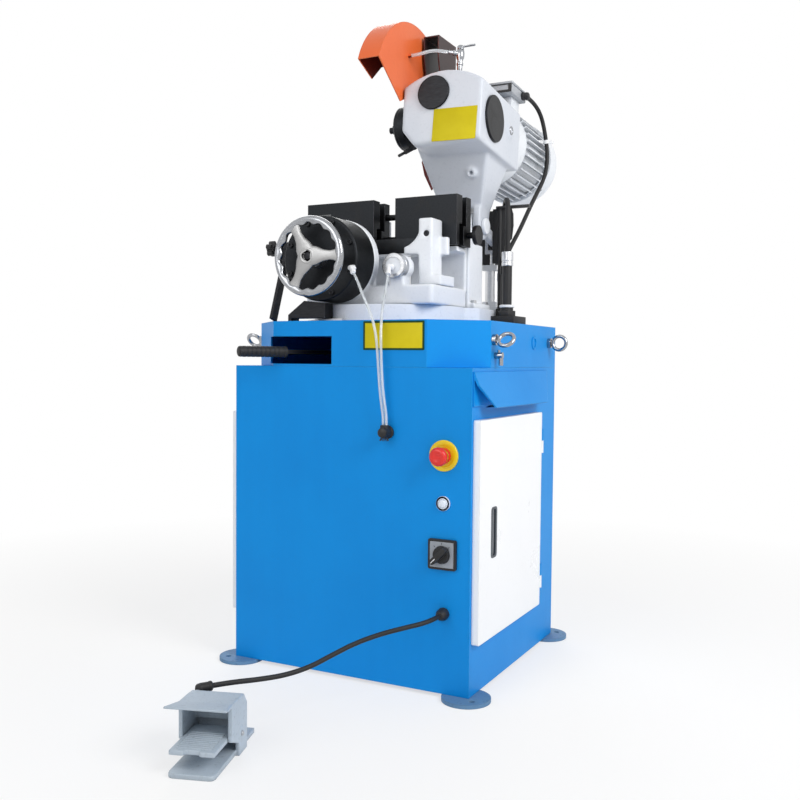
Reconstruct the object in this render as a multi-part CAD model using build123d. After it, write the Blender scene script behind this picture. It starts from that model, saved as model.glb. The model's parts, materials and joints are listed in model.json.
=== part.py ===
from build123d import *
import math
import os

# Pipe cutting machine: a swivelling cold-saw head over an air vise, on a cabinet with a foot pedal.
# Millimetres, +Z up, -Y is the front. The origin is on the floor under the middle of the cabinet.

# Common values
slip = 0.3            # gap between bodies that slide or swing past each other
running = 0.06        # radial clearance of a shaft that turns in its bore
past = 1.0            # how far a cut runs past the face that it opens
sheet = 3.0           # sheet metal of the cabinet and drawer
tray_sheet = 4.0

# Cabinet
cabinet_width = 600.0
cabinet_depth = 544.0
cabinet_height = 690.0
foot_thickness = 8.0
foot_radius = 52.5
foot_inset = 10.0
anchor_radius = 6.5
anchor_out = 22.0
cabinet_top = foot_thickness + cabinet_height
cabinet_floor = foot_thickness + sheet
half_width = cabinet_width / 2
half_depth = cabinet_depth / 2
front = -half_depth

# Swarf drawer under the tray, pulled out to the right, with a bent lip to pull it by
drawer_length = 420.0
drawer_width = 360.0
drawer_depth = 62.0
drawer_gap = 4.0
drawer_top = cabinet_top - 18.0
drawer_bottom = drawer_top - drawer_depth
drawer_y = -10.0
runner_width = 16.0
runner_height = 6.0
lip_front = front + 4.0
lip_rear = lip_front + 464.0
lip_out = 32.0
lip_top = cabinet_top - 8.0
lip_fold = 12.0
lip_bottom = lip_top - 76.0
lip_front_cut = 48.0
lip_rear_cut = 84.0

# Doors, one on each side, hinged at the rear edge
door_front = front + 9.0
door_length = 392.0
door_bottom = 118.0
door_below_lip = 24.0
door_proud = 16.0
door_skin = 2.0
door_rim = 22.0
door_corner = 5.0
door_rear = door_front + door_length
door_top = lip_bottom - door_below_lip
slot_handle_y = door_front + 82.0
slot_handle_width = 18.0
slot_handle_length = 103.0
slot_handle_z = (door_bottom + door_top) / 2 - 8.5
slot_handle_deep = 9.0
hinge_out = 12.0
hinge_behind = 7.0
hinge_length = 60.0
hinge_inset = 70.0
hinge_pin_radius = 3.0
knuckle_radius = 6.0
knuckle_arm = 2.0

# Controls and glands on the walls
panel_x = half_width - 62.0
control_hole = 11.0
estop_z = cabinet_top - 184.0
estop_disc_radius = 33.0
estop_disc = 3.0
estop_collar = 14.0
estop_stem_radius = 8.0
estop_block = (44.0, 40.0, 32.0)
mushroom_radius = 20.0
mushroom_front = front - 38.0
mushroom_rear = front - 22.0
mushroom_round = 7.0
button_z = cabinet_top - 284.5
button_radius = 15.0
button_rim = 5.0
button_barrel = 34.0
button_cap_radius = 9.0
button_proud = 9.0
button_travel = 5.0
switch_z = cabinet_top - 392.0
switch_size = 64.0
switch_plate = 7.0
switch_corner = 4.0
switch_drum = (48.0, 70.0, 48.0)
switch_shaft_radius = 5.0
switch_shaft_end = 36.0
switch_hub_radius = 18.0
switch_hub = 8.0
switch_grip = (12.0, 20.0, 46.0)
barrel = 12.0         # how far a control's barrel reaches behind the panel before its block
gland_x = half_width - 59.0
gland_z = cabinet_top - 518.0
gland_out = 24.0
gland_nut_radius = 13.0
gland_nut = 14.0
gland_hole = 9.0
grommet_x = 105.0
grommet_z = cabinet_top - 140.0
grommet_hole = 12.0
grommet_out = 16.0
grommet_mouth_radius = 10.0
grommet_top = grommet_z + grommet_out
inlet_x = 120.0
inlet_z = 160.0
inlet_across = 26.0
inlet_nut = 14.0
inlet_tail = 12.0
inlet_tail_radius = 8.0
inlet_bore = 4.0

# Inside the cabinet
gear_width = 240.0
gear_right = half_width - 20.0
gear_left = gear_right - gear_width
gear_bottom = 200.0
gear_height = 320.0
gear_plate = 18.0
gear_deep = 80.0
contactor_size = 40.0
contactor_pitch = 55.0
contactor_height = 80.0
contactor_bottom = gear_bottom + 200.0
transformer_size = 90.0
terminal_strip = (100.0, 40.0, 32.0)
tank_left = -half_width + 20.0
tank_right = tank_left + 220.0
tank_rear = half_depth - 22.0
tank_front = tank_rear - 310.0
tank_height = 180.0
tank_lid = 4.0
pump_x = (tank_left + tank_right) / 2
pump_y = tank_rear - 85.0
pump_flange = 8.0
pump_flange_radius = 48.0
pump_radius = 42.0
pump_height = 120.0
pump_dip_radius = 30.0
pump_dip_clear = 30.0
pump_spout_radius = 9.0
pump_spout_reach = 60.0
pump_spout_z = 22.0

# Tray on top of the cabinet
tray_height = 102.0
tray_cut_x = 105.0
tray_cut_y = 100.0
tray_top = cabinet_top + tray_height
tray_floor = tray_top - 28.0
lever_slot_left = -215.0
lever_slot_right = -39.0
lever_slot_bottom = cabinet_top + 5.0
lever_slot_top = cabinet_top + 67.0
chip_hole_x = half_width - 95.0
chip_hole_y = 110.0
chip_hole_radius = 30.0
eye_radius = 17.0
eye_wire = 4.5
eye_collar = 9.0
eye_collar_radius = 12.0
eye_z = tray_top - 41.0
eye_front_y = front + 114.0
eye_rear_y = half_depth - 57.0
eye_front_turn = 50.0
eye_rear_turn = 90.0
drain_y = front + 125.0
drain_z = eye_z - 34.0
drain_body = 18.0
drain_body_radius = 7.0
drain_spout = 22.0
drain_spout_radius = 5.0
drain_key = 12.0
drain_key_radius = 3.0

# Swivel: turntable on the tray floor, round a fixed post
swivel_x = -27.0
swivel_y = -15.0
turntable_radius = 185.0
turntable_top = tray_top + 40.0
plate_bottom = tray_top + 6.0
plate_corner = 10.0
plate_right = swivel_x + 209.0
plate_front = swivel_y + 15.0
plate_chamfer = 40.0
plate_rear = swivel_y + 287.0
ledge_right = plate_right + 60.0
ledge_front = swivel_y + 135.0
ledge_rear = ledge_front + 86.0
ledge_top = turntable_top - 16.0
post_radius = 60.0
stud_radius = 12.0
stud_washer = 19.0
stud_head = 12.0
lever_z = cabinet_top + 32.0
lever_thickness = 16.0
lever_hub_radius = 26.0
lever_angle = 240.0
lever_length = 400.0
lever_width = 18.0
lever_bar = 10.0
grip_length = 115.0
grip_radius = 12.0
grip_round = 4.0
scale_inner = turntable_radius + 6.0
scale_outer = scale_inner + 14.0
scale_top = tray_top + 6.0
scale_first = 215.0
scale_last = 265.0
deflector_left = swivel_x - 156.0
deflector_front = swivel_y - 215.0
deflector_rear = swivel_y - 181.0
deflector_reach = 100.0
deflector_rise = 44.0
deflector_thick = 8.0
deflector_peak = turntable_top + 8.0
deflector_top = turntable_top + 2.0

# Column and head pivot
column_left = swivel_x + 67.0
column_right = column_left + 112.0
column_front = swivel_y + 63.0
column_rear = column_front + 92.0
column_shoulder = turntable_top + 160.0
column_slope = (10.0, 20.0)
column_corner = 6.0
column_foot = 14.0
column_foot_out = 14.0
pivot_y = column_rear + 5.0
pivot_z = turntable_top + 210.0
pivot_radius = 14.0
pivot_cap_radius = 20.0
pivot_cap = 9.0
pivot_nut = 12.0
pivot_nut_across = 34.0
boss_radius = 34.0
ear_width = 20.0

# Head, described level with its origin on the pivot axis, then tipped back
head_tilt = 6.0
head_swing = 34.0
head_left = column_left - 38.0
head_right = head_left + 206.0
head_front = -190.0
head_rear = 70.0
head_bottom = 155.0
head_shoulder = head_bottom + 147.0
head_crown = head_shoulder + 32.0
head_cut = (36.0, 42.0)
nose_round = 14.0
neck_top = head_bottom + 30.0
neck_bottom = 42.0
neck_low_deep = 60.0
neck_low_y = 4.0
neck_top_deep = 164.0
neck_top_y = -42.0
neck_inset = 5.0

# Spindle across the head, with its worm wheel, bearings and clamp flanges
spindle_y = -110.7
spindle_z = 230.2
spindle_radius = 17.5
spindle_way = spindle_radius + 6.0
arbor_radius = 12.0
wheel_radius = 36.0
wheel_width = 28.0
wheel_teeth = 24
wheel_gash = (3.2, 5.0)
wheel_helix = 8.0
wheel_room = 8.0
bearing_radius = 31.0
bearing_width = 16.0
left_bearing_x = head_left + 6.0
right_bearing_x = head_right - bearing_width - 20.0
blade_plane_x = swivel_x
flange_radius = 52.5
flange_bevel = 4.0
flange_face_x = blade_plane_x - 11.0
flange_back_x = blade_plane_x + 17.0
clamp_washer = 5.0
clamp_washer_radius = 18.0
clamp_head = 16.0
clamp_across = 24.0
clamp_stem = 11.0
clamp_stem_radius = 8.0

# Worm above the wheel and motor below the worm, both leaning a little against the head
drive_lean = 3.5
worm_x = head_left + 90.0
worm_distance = 50.0
worm_z = spindle_z + worm_distance
worm_radius = 13.4
worm_half = 34.0
worm_pitch = 8.0
worm_grooves = 8
worm_groove = (3.2, 2.4)
worm_bore = 22.0
worm_front = head_front + 16.0
drive_shaft_radius = 9.0
gear_distance = 42.0
motor_z = worm_z - gear_distance
spur_front = 42.0
spur_rear = 62.0
spur_gear_radius = 24.8
spur_pinion_radius = 16.8
spur_room = 5.0
spur_gear_teeth = 25
spur_pinion_teeth = 17
spur_gash = (2.4, 3.0)

# Covers and tap on the head
cover_thickness = 6.0
cover_round = 2.0
cover_spigot = 10.0
front_cover_x = head_left + 82.0
front_cover_z = worm_z
front_cover_radius = 40.5
side_cover_radius = 55.0
tap_x = head_left + 110.0
tap_y = -112.0
tap_base = head_crown - 6.0
tap_foot = 12.0
tap_foot_radius = 13.0
tap_pocket = 14.0
tap_stem_radius = 6.5
tap_body_radius = 9.5
tap_body_z = tap_base + 74.0
tap_top = tap_body_z + 10.0
tap_key = 6.0
tap_key_radius = 5.0
tap_lever_hub = 8.0
tap_lever_reach = 38.0
tap_lever_width = 8.0
tap_lever_thick = 5.0
barb_turn = 40.0
barb_reach = 32.0
barb_radius = 4.5
barb_collar_radius = 6.5
barb_collar = 20.0

# Motor behind the head
motor_radius = 100.0
motor_fin = 12.0
fin_thickness = 3.6
fin_count = 36
fin_sink = 4.0
motor_flange = 14.0
motor_seat = head_rear + 8.0
seat_front = 30.0
motor_start = motor_seat + motor_flange
front_shield = 64.0
front_shield_radius = 104.0
fin_start = motor_start + front_shield
fin_length = 165.0
fin_end = fin_start + fin_length
rear_shield = 18.0
rear_shield_radius = 105.0
motor_end = fin_end + rear_shield
rotor_space = 70.0
rotor_gap = 1.0
rotor_front_wall = 22.0
rotor_rear_wall = 28.0
rotor_side = 8.0
fan_cover_radius = 114.0
fan_cover_length = 62.0
fan_cover_lap = 10.0
fan_cover_sheet = 2.0
fan_cover_round = 22.0
grille_radius = 68.0
grille_pitch = 12.0
grille_slot = 6.0
grille_rows = 5
fan_start = motor_end + 6.0
fan_radius = 86.0
fan_hub_radius = 20.0
fan_width = 28.0
fan_blades = 7
fan_sheet = 3.0
box_left = worm_x + 8.0
box_right = box_left + 85.0
box_front = motor_seat - 15.0
box_rear = box_front + 106.0
box_bottom = motor_z + motor_radius + motor_fin + 0.8
box_top = box_bottom + 22.0
box_lid = 6.0
box_lid_out = 2.0
box_pad_inset = 14.0
box_pad_front = motor_start + 6.0
cable_gland_y = box_rear - 29.0
cable_gland_z = box_bottom + 10.0
cable_gland_radius = 9.5
cable_gland_out = 20.0
cable_gland_tail = 18.0
cable_gland_tail_radius = 8.0
cable_diameter = 11.0

# Guard over the blade, hinged on its bracket
guard_inner_x = blade_plane_x + 26.0
guard_outer_x = blade_plane_x - 30.0
guard_sheet = 2.5
guard_centre_y = pivot_y - 90.0
guard_centre_z = pivot_z + 288.0
guard_radius = 202.0
guard_front_angle = 158.0
guard_rear_angle = 41.0
guard_hinge_y = guard_centre_y + 80.0
guard_hinge_z = guard_centre_z + 174.0
guard_pin_radius = 5.0
guard_bolt_head = 7.0
guard_bolt_end = 6.0
guard_port_y = guard_centre_y - 35.5
guard_port_z = guard_centre_z + 118.0
guard_port_radius = 4.5
guard_port_x = guard_inner_x + 9.0
bracket_left = head_left + 3.0
bracket_right = bracket_left + 42.0
bracket_front = guard_hinge_y - 45.0
bracket_rear = bracket_front + 105.0
bracket_top = guard_hinge_z + 10.0
bracket_height = 172.0
bracket_foot = bracket_top - bracket_height
bracket_slope = (32.0, 50.0)

# Feed cylinder behind the column: its rod's pin runs in a slot of the head's arm
feed_x = column_right - ear_width / 2
feed_reach = 87.5
feed_y = pivot_y + feed_reach
feed_low = -head_swing / 2
feed_pin_z = pivot_z + feed_reach * math.tan(math.radians(feed_low))
feed_stroke = 2 * (pivot_z - feed_pin_z)
feed_pin_radius = 6.0
feed_slot_room = 0.8
feed_arm_half = 15.0
feed_arm_end = 9.0
feed_radius = 20.0
feed_rod_radius = 8.0
feed_rod_tail = 20.0
feed_foot = 12.0
feed_foot_half = 26.0
feed_cap = 14.0
feed_cap_half = 22.0
feed_cap_corner = 4.0
feed_bottom_wall = 8.0
feed_top = turntable_top + 120.0
fork_half = 11.0
fork_cheek = 8.0
fork_root = 34.0
fork_slot = 24.0
fork_top = 12.0

# Conduits on the turntable's ledge, the arched hose and its rest
conduit_x = ledge_right - 29.0
conduit_y = ledge_front + 30.0
conduit_radius = 12.0
conduit_across = 40.0
conduit_nut = 14.0
conduit_collar = 8.0
conduit_collar_radius = 16.0
ferrule_bottom = turntable_top + 109.0
ferrule_top = ferrule_bottom + 35.0
ferrule_radius = 14.5
riser_x = ledge_right - 50.0
riser_y = ledge_rear - 24.0
riser_top = turntable_top + 115.0
riser_radius = 7.0
riser_gland = 24.0
riser_gland_radius = 10.0
cable_lift = 2.8
rest_post_x = plate_right - 8.0
rest_post_y = ledge_rear - 8.0
rest_post_radius = 5.0
rest_left = rest_post_x - 10.0
rest_right = rest_post_x + 78.0
rest_half = 7.0
rest_top = turntable_top + 266.0
rest_thick = 7.0
arch_diameter = 13.0
arch_end_x = feed_x + 30.0
arch_end_y = feed_y - 2.5
arch_end_z = turntable_top + 100.0
arch_block = 10.0
arch_block_height = 20.0

# Vise
vise_x = swivel_x - 67.0
vise_z = turntable_top + 103.0
bed_left = swivel_x - 158.0
bed_right = swivel_x + 177.0
bed_front = swivel_y - 135.0
bed_rear = swivel_y + 59.0
bed_corner = 10.0
bed_sink = 5.0
bed_bottom = turntable_top + slip
bed_top = turntable_top + 45.0
jaw_bottom = vise_z + 41.0
jaw_height = 116.0
jaw_top = jaw_bottom + jaw_height
pad_bottom = jaw_bottom + 50.0
front_jaw_y = bed_front + 100.0
front_jaw_back = 15.0
pad_thick = 16.0
jaw_gap = 25.0
rear_jaw_thick = 26.0
toe_deep = 15.0
toe_top = jaw_bottom + 46.0
right_jaw_left = blade_plane_x + 28.6
right_jaw_right = right_jaw_left + 161.4
left_jaw_right = blade_plane_x - 30.0
left_jaw_left = left_jaw_right - 121.0
tongue_left = left_jaw_left - 68.0
tongue_height = 27.0
pad_face = front_jaw_y + front_jaw_back + pad_thick
rear_jaw_y = pad_face + jaw_gap
jaw_back = rear_jaw_y + rear_jaw_thick
ledge_thick = 12.0
ledge_before_toe = 6.0
rear_wall_top = jaw_bottom + 76.0
guide_rod_radius = 7.5
guide_rod_y = rear_jaw_y + rear_jaw_thick / 2
guide_rod_upper = jaw_bottom + 82.0
guide_rod_lower = jaw_bottom + 27.0
guide_rod_out = 18.0
end_disc_radius = 23.0
end_disc = 10.0
cylinder_radius = 97.0
cylinder_collar = 1.0
cylinder_rear = bed_front - 5.0
cylinder_length = 80.0
cylinder_front = cylinder_rear - cylinder_length
cylinder_bore = 80.0
cylinder_end = 12.0
cylinder_round = 5.0
cylinder_wall_rear = bed_front + 20.0
ram_radius = 22.0
ram_front = cylinder_front - 27.0
ram_rear = cylinder_wall_rear - 2.0
piston_thick = 16.0
screw_radius = 11.0
screw_end = front_jaw_y + 30.0
wheel_rim_radius = 81.0
wheel_rim_wire = 9.0
wheel_hub_radius = 21.0
wheel_hub_front = 11.0
wheel_hub_round = 4.0
wheel_socket = 7.0
wheel_y = ram_front - 19.0
spoke_count = 3
spoke_size = (10.0, 18.0)
spoke_round = 4.0
slide_thick = 14.0
slide_front = front_jaw_y - slide_thick
slide_left = bed_left + 10.0
slide_post = 55.0
slide_lap = 16.0
nut_radius = 26.0
nut_half = 36.0
nut_block_below = 13.0
nut_rear = front_jaw_y + 20.0
booster_x = vise_x + 152.0
booster_z = vise_z - 16.0
booster_radius = 28.0
booster_front = bed_front - 15.0
booster_rear = bed_front + 38.0
booster_foot_half = 18.0
booster_clear = 3.0
arm_right = bed_right - 3.0
arm_left = arm_right - 55.0
arm_width = 35.0
arm_front = front_jaw_y - 57.0
arm_top = jaw_bottom + 56.0
arm_foot = 24.0
arm_foot_out = 3.0
gusset_left = arm_left - 38.0
gusset_low = jaw_bottom - 9.0
gusset_mid = (arm_left - 18.0, jaw_bottom + 1.0)
gusset_high = jaw_bottom + 26.0
beam_bottom = booster_z + booster_radius + booster_clear
hose_diameter = 6.0
hose_spread = 3.8
left_port = (vise_x + 88.0, vise_z - 26.0)
left_port_radius = 6.5
left_port_out = 16.0
left_port_turn = 10.0
right_port = (booster_x - 4.0, booster_z - 3.0)
right_port_radius = 7.0
right_port_out = 18.0
right_port_turn = 12.0
port_spout_radius = 5.0

# Stock stop on the left of the vise
stop_y = bed_front + 40.0
stop_z = vise_z + 44.0
stop_rod_radius = 8.0
stop_lug_right = bed_left + 5.0
stop_lug_left = stop_lug_right - 20.0
stop_lug_half = 15.0
stop_lug_above = 13.0
stop_lug_wall = 2.0
stop_rod_end = stop_lug_left - 100.0
stop_bar_x = stop_rod_end + 35.0
stop_bar_thick = 8.0
stop_bar_width = 22.0
stop_bar_length = 190.0
stop_eye_radius = 16.0
stop_eye_proud = 4.0
stop_lean = 19.4
knob_radius = 13.0
knob_length = 20.0
knob_lobe = 7.0
knob_lobes = 5
knob_lobe_inset = (2.0, 4.0)

# Foot pedal in front of the machine
pedal_x = -5.3
pedal_y = -729.7
pedal_turn = 17.8
pedal_half = 42.0
pedal_front = -105.0
pedal_rear = 112.0
pedal_base = 9.0
pedal_corner = 8.0
hood_wall = 8.0
hood_plate = 6.0
hood_top = 106.0
hood_rise = 2.0
hood_top_rear = 28.0
hood_back_sink = 8.0
hood_rear = 46.0
hood_shoulder = hood_top - 22.0
visor_reach = 48.0
visor_rise = 7.0
visor_edge = 4.0
visor_flare = 8.0
cheek_front = -36.0
cheek_lip = 40.0
cheek_notch = (2.0, 24.0)
hood_inner_y = 24.0
hood_inner_gap = 16.0
hood_inner_sink = 4.0
treadle_pin_y = 10.0
treadle_pin_z = 40.0
treadle_pin_radius = 4.0
treadle_front = -100.0
treadle_half = 41.0
treadle_top = 47.0
treadle_thick = 9.0
treadle_knuckle = 8.0
treadle_tail = 9.0
treadle_notch_half = 14.0
treadle_notch = 6.0
elbow_x = -55.0
elbow_y = -704.0
elbow_z = 106.0
elbow_radius = 8.0
elbow_below = 34.0
elbow_above = 4.0
elbow_spout_radius = 7.5
elbow_end = (-40.0, -686.0, 107.0)
pedal_cable_diameter = 10.0
coolant_hose_diameter = 8.0


def block(x0, x1, y0, y1, z0, z1):
    middle = Pos((x0 + x1) / 2, (y0 + y1) / 2, (z0 + z1) / 2)
    return middle * Box(x1 - x0, y1 - y0, z1 - z0)


def rod_x(radius, x0, x1, y, z):
    return Pos((x0 + x1) / 2, y, z) * Rot(0, 90, 0) * Cylinder(radius, x1 - x0)


def rod_y(radius, y0, y1, x, z):
    return Pos(x, (y0 + y1) / 2, z) * Rot(90, 0, 0) * Cylinder(radius, y1 - y0)


def rod_z(radius, z0, z1, x, y):
    return Pos(x, y, (z0 + z1) / 2) * Cylinder(radius, z1 - z0)


def stub(start, end, radius):
    # Round bar between two points
    way = Vector(*end) - Vector(*start)
    return extrude(Plane(start, z_dir=way) * Circle(radius), amount=way.length)


def side_plane(x):
    # Sketch plane whose first axis is Y and whose second is Z
    return Plane((x, 0, 0), x_dir=(0, 1, 0), z_dir=(1, 0, 0))


def front_plane(y):
    # Sketch plane whose first axis is X and whose second is Z, facing the front
    return Plane((0, y, 0), x_dir=(1, 0, 0), z_dir=(0, -1, 0))


def polygon(points):
    return make_face(Polyline(*points, close=True))


def side_prism(points, x0, x1):
    # Polygon in (y, z), drawn out along X
    return extrude(side_plane(x0) * polygon(points), amount=x1 - x0)


def plan_prism(points, z0, z1):
    # Polygon in (x, y), drawn out along Z
    return extrude(Plane((0, 0, z0)) * polygon(points), amount=z1 - z0)


def front_prism(points, y0, y1):
    # Polygon in (x, z), drawn out along Y
    return extrude(front_plane(y1) * polygon(points), amount=y1 - y0)


def hexagon_rod(across, length):
    return extrude(RegularPolygon(across / math.sqrt(3), 6), amount=length)


def bend_radii(points, share=0.45):
    vectors = [Vector(*p) for p in points]
    runs = [b - a for a, b in zip(vectors, vectors[1:])]
    radii = []
    for first, second in zip(runs, runs[1:]):
        half_turn = math.radians(first.get_angle(second)) / 2
        radii.append(share * min(first.length, second.length) / math.tan(half_turn))
    return radii


def tube(name, points, diameter):
    radii = bend_radii(points)
    path = FilletPolyline(*points, radius=radii)
    section = Circle(diameter / 2)
    solid = sweep(Plane(path @ 0, z_dir=path % 0) * section, path=path)
    share = solid.volume / (section.area * path.length)
    print(f"{name}: length {path.length:.0f}, bends {[round(r) for r in radii]}, volume share {share:.4f}")
    return solid


def tipped(solid):
    # From the level head frame to its rest place on the pivot
    return Pos(0, pivot_y, pivot_z) * Rot(-head_tilt, 0, 0) * solid


def leaned(solid):
    # From the drive's own frame to the level head frame, turned about the spindle
    return Pos(0, spindle_y, spindle_z) * Rot(drive_lean, 0, 0) * Pos(0, -spindle_y, -spindle_z) * solid


def turned_point(y, z, angle):
    a = math.radians(angle)
    return y * math.cos(a) - z * math.sin(a), y * math.sin(a) + z * math.cos(a)


def tipped_point(x, y, z):
    turned_y, turned_z = turned_point(y, z, -head_tilt)
    return x, pivot_y + turned_y, pivot_z + turned_z


def drive_point(x, y, z):
    # From the drive's own frame to the world
    turned_y, turned_z = turned_point(y - spindle_y, z - spindle_z, drive_lean)
    return tipped_point(x, spindle_y + turned_y, spindle_z + turned_z)


def at_pedal(solid):
    return Pos(pedal_x, pedal_y, 0) * Rot(0, 0, pedal_turn) * solid


def at_swivel(solid):
    return Pos(swivel_x, swivel_y, 0) * solid


def group(*solids):
    return Compound(children=list(solids))


# Cabinet and what is fixed to it

def make_cabinet():
    # Front, rear, floor and top between the two side walls, with the drawer's runners from wall to wall
    left = -half_width + sheet
    right = half_width - sheet
    front_plate = block(left, right, front, front + sheet, foot_thickness, cabinet_top)
    front_holes = [(panel_x, estop_z, control_hole), (panel_x, button_z, control_hole),
                   (panel_x, switch_z, control_hole), (gland_x, gland_z, gland_hole),
                   (grommet_x, grommet_z, grommet_hole)]
    for x, z, radius in front_holes:
        front_plate -= rod_y(radius, front - past, front + sheet + past, x, z)
    rear_plate = block(left, right, half_depth - sheet, half_depth, foot_thickness, cabinet_top)
    for x in (-inlet_x, inlet_x):
        rear_plate -= rod_y(gland_hole, half_depth - sheet - past, half_depth + past, x, inlet_z)
    floor = block(left, right, front + sheet, half_depth - sheet, foot_thickness, cabinet_floor)
    top = block(left, right, front + sheet, half_depth - sheet, cabinet_top - sheet, cabinet_top)
    top -= rod_z(chip_hole_radius, cabinet_top - sheet - past, cabinet_top + past, chip_hole_x, chip_hole_y)
    runner_top = drawer_bottom - slip
    runners = []
    for side in (-1, 1):
        y = drawer_y + side * (drawer_width - runner_width) / 2
        runners.append(block(left, right, y - runner_width / 2, y + runner_width / 2,
                             runner_top - runner_height, runner_top))
    return group(front_plate, rear_plate, floor, top, side_wall(-1), side_wall(1), *runners)


def side_wall(side):
    inner = side * (half_width - sheet)
    outer = side * half_width
    low = min(inner, outer)
    high = max(inner, outer)
    wall = block(low, high, front, half_depth, foot_thickness, cabinet_top)
    wall -= block(low - past, high + past, door_front + door_rim, door_rear - door_rim,
                  door_bottom + door_rim, door_top - door_rim)
    if side > 0:
        half_opening = drawer_width / 2 + drawer_gap
        wall -= block(low - past, high + past, drawer_y - half_opening, drawer_y + half_opening,
                      drawer_bottom - drawer_gap, drawer_top + drawer_gap)
    for z in hinge_heights():
        wall += door_hinge_lug(side, z)
    return wall


def hinge_heights():
    return (door_bottom + hinge_inset, door_top - hinge_inset)


def hinge_axis(side):
    return side * (half_width + hinge_out), door_rear + hinge_behind


def door_hinge_lug(side, z):
    # Fixed knuckle above the door's own, on a short leaf against the cabinet side
    x, y = hinge_axis(side)
    low = z + slip / 2
    high = z + hinge_length / 2
    inner = side * (half_width - sheet / 2)
    leaf = block(min(x, inner), max(x, inner), y, y + knuckle_radius, low, high)
    return rod_z(knuckle_radius, low, high, x, y) + leaf - rod_z(hinge_pin_radius, low - past, high + past, x, y)


def make_hinge_pins():
    pins = []
    for side in (-1, 1):
        x, y = hinge_axis(side)
        for z in hinge_heights():
            pins.append(rod_z(hinge_pin_radius, z - hinge_length / 2, z + hinge_length / 2, x, y))
    reach = pedal_half + hood_wall
    pins.append(at_pedal(rod_x(treadle_pin_radius, -reach, reach, treadle_pin_y, treadle_pin_z)))
    return group(*pins)


def make_door(side):
    inner = half_width + slip
    outer = half_width + door_proud
    door = block(inner, outer, door_front, door_rear, door_bottom, door_top)
    door = fillet(door.edges().filter_by(Axis.X), door_corner)
    door -= block(inner - past, outer - door_skin, door_front + door_skin, door_rear - door_skin,
                  door_bottom + door_skin, door_top - door_skin)
    half_slot = slot_handle_width / 2
    cup_half = half_slot + door_skin
    low = slot_handle_z - slot_handle_length / 2
    high = slot_handle_z + slot_handle_length / 2
    door += block(outer - slot_handle_deep - door_skin, outer - door_skin / 2, slot_handle_y - cup_half,
                  slot_handle_y + cup_half, low - door_skin, high + door_skin)
    door -= block(outer - slot_handle_deep, outer + past, slot_handle_y - half_slot, slot_handle_y + half_slot,
                  low, high)
    x, y = hinge_axis(1)
    for z in hinge_heights():
        low = z - hinge_length / 2
        high = z - slip / 2
        door += rod_z(knuckle_radius, low, high, x, y)
        door += block(x - knuckle_radius, x + knuckle_arm, door_rear - door_skin, y, low, high)
        door -= rod_z(hinge_pin_radius + running, low - past, high + past, x, y)
    return door if side > 0 else mirror(door, about=Plane.YZ)


def make_feet():
    feet = []
    for sx in (-1, 1):
        for sy in (-1, 1):
            x = sx * (half_width - foot_inset)
            y = sy * (half_depth - foot_inset)
            disc = rod_z(foot_radius, 0, foot_thickness, x, y)
            hole = rod_z(anchor_radius, -past, foot_thickness + past, x + sx * anchor_out, y + sy * anchor_out)
            feet.append(disc - hole)
    return group(*feet)


def make_drawer():
    x0 = half_width - drawer_length
    x = half_width + slip
    y0 = drawer_y - drawer_width / 2
    y1 = drawer_y + drawer_width / 2
    drawer = block(x0, x + sheet, y0, y1, drawer_bottom, drawer_top)
    drawer -= block(x0 + sheet, x, y0 + sheet, y1 - sheet, drawer_bottom + sheet, drawer_top + past)
    front_sheet = block(x, x + sheet, lip_front, lip_rear, drawer_bottom, lip_top)
    slant = [(x + sheet / 2, lip_top), (x + sheet / 2, lip_top - lip_fold), (x + lip_out, lip_bottom),
             (x + lip_out + sheet, lip_bottom + sheet / 2), (x + sheet, lip_top)]
    lip = front_prism(slant, lip_front, lip_rear)
    front_cut = [(lip_front - past, lip_bottom - past), (lip_front + lip_front_cut, lip_bottom - past),
                 (lip_front - past, lip_bottom + lip_front_cut)]
    rear_cut = [(lip_rear + past, lip_bottom - past), (lip_rear - lip_rear_cut, lip_bottom - past),
                (lip_rear + past, lip_top)]
    for cut in (front_cut, rear_cut):
        lip -= side_prism(cut, x + sheet, x + 2 * lip_out)
    return drawer + front_sheet + lip


def make_estop_body():
    width, deep, height = estop_block
    body = rod_y(estop_disc_radius, front - estop_disc, front, panel_x, estop_z)
    body += rod_y(2 * estop_stem_radius, front - estop_collar, front, panel_x, estop_z)
    body += rod_y(control_hole, front, front + barrel, panel_x, estop_z)
    body += block(panel_x - width / 2, panel_x + width / 2, front + barrel, front + barrel + deep,
                  estop_z - height / 2, estop_z + height / 2)
    return body - rod_y(estop_stem_radius, front - 2 * estop_collar, front + barrel + deep / 2, panel_x, estop_z)


def make_estop_mushroom():
    cap = rod_y(mushroom_radius, mushroom_front, mushroom_rear, panel_x, estop_z)
    cap = fillet(cap.edges().group_by(Axis.Y)[0], mushroom_round)
    return cap + rod_y(estop_stem_radius - running, mushroom_rear, front + 2 * control_hole, panel_x, estop_z)


def make_push_button():
    cap_end = front + button_barrel - 2 * button_travel
    cap = rod_y(button_cap_radius, front - button_proud, cap_end, panel_x, button_z)
    return fillet(cap.edges().group_by(Axis.Y)[0], cover_round)


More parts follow.
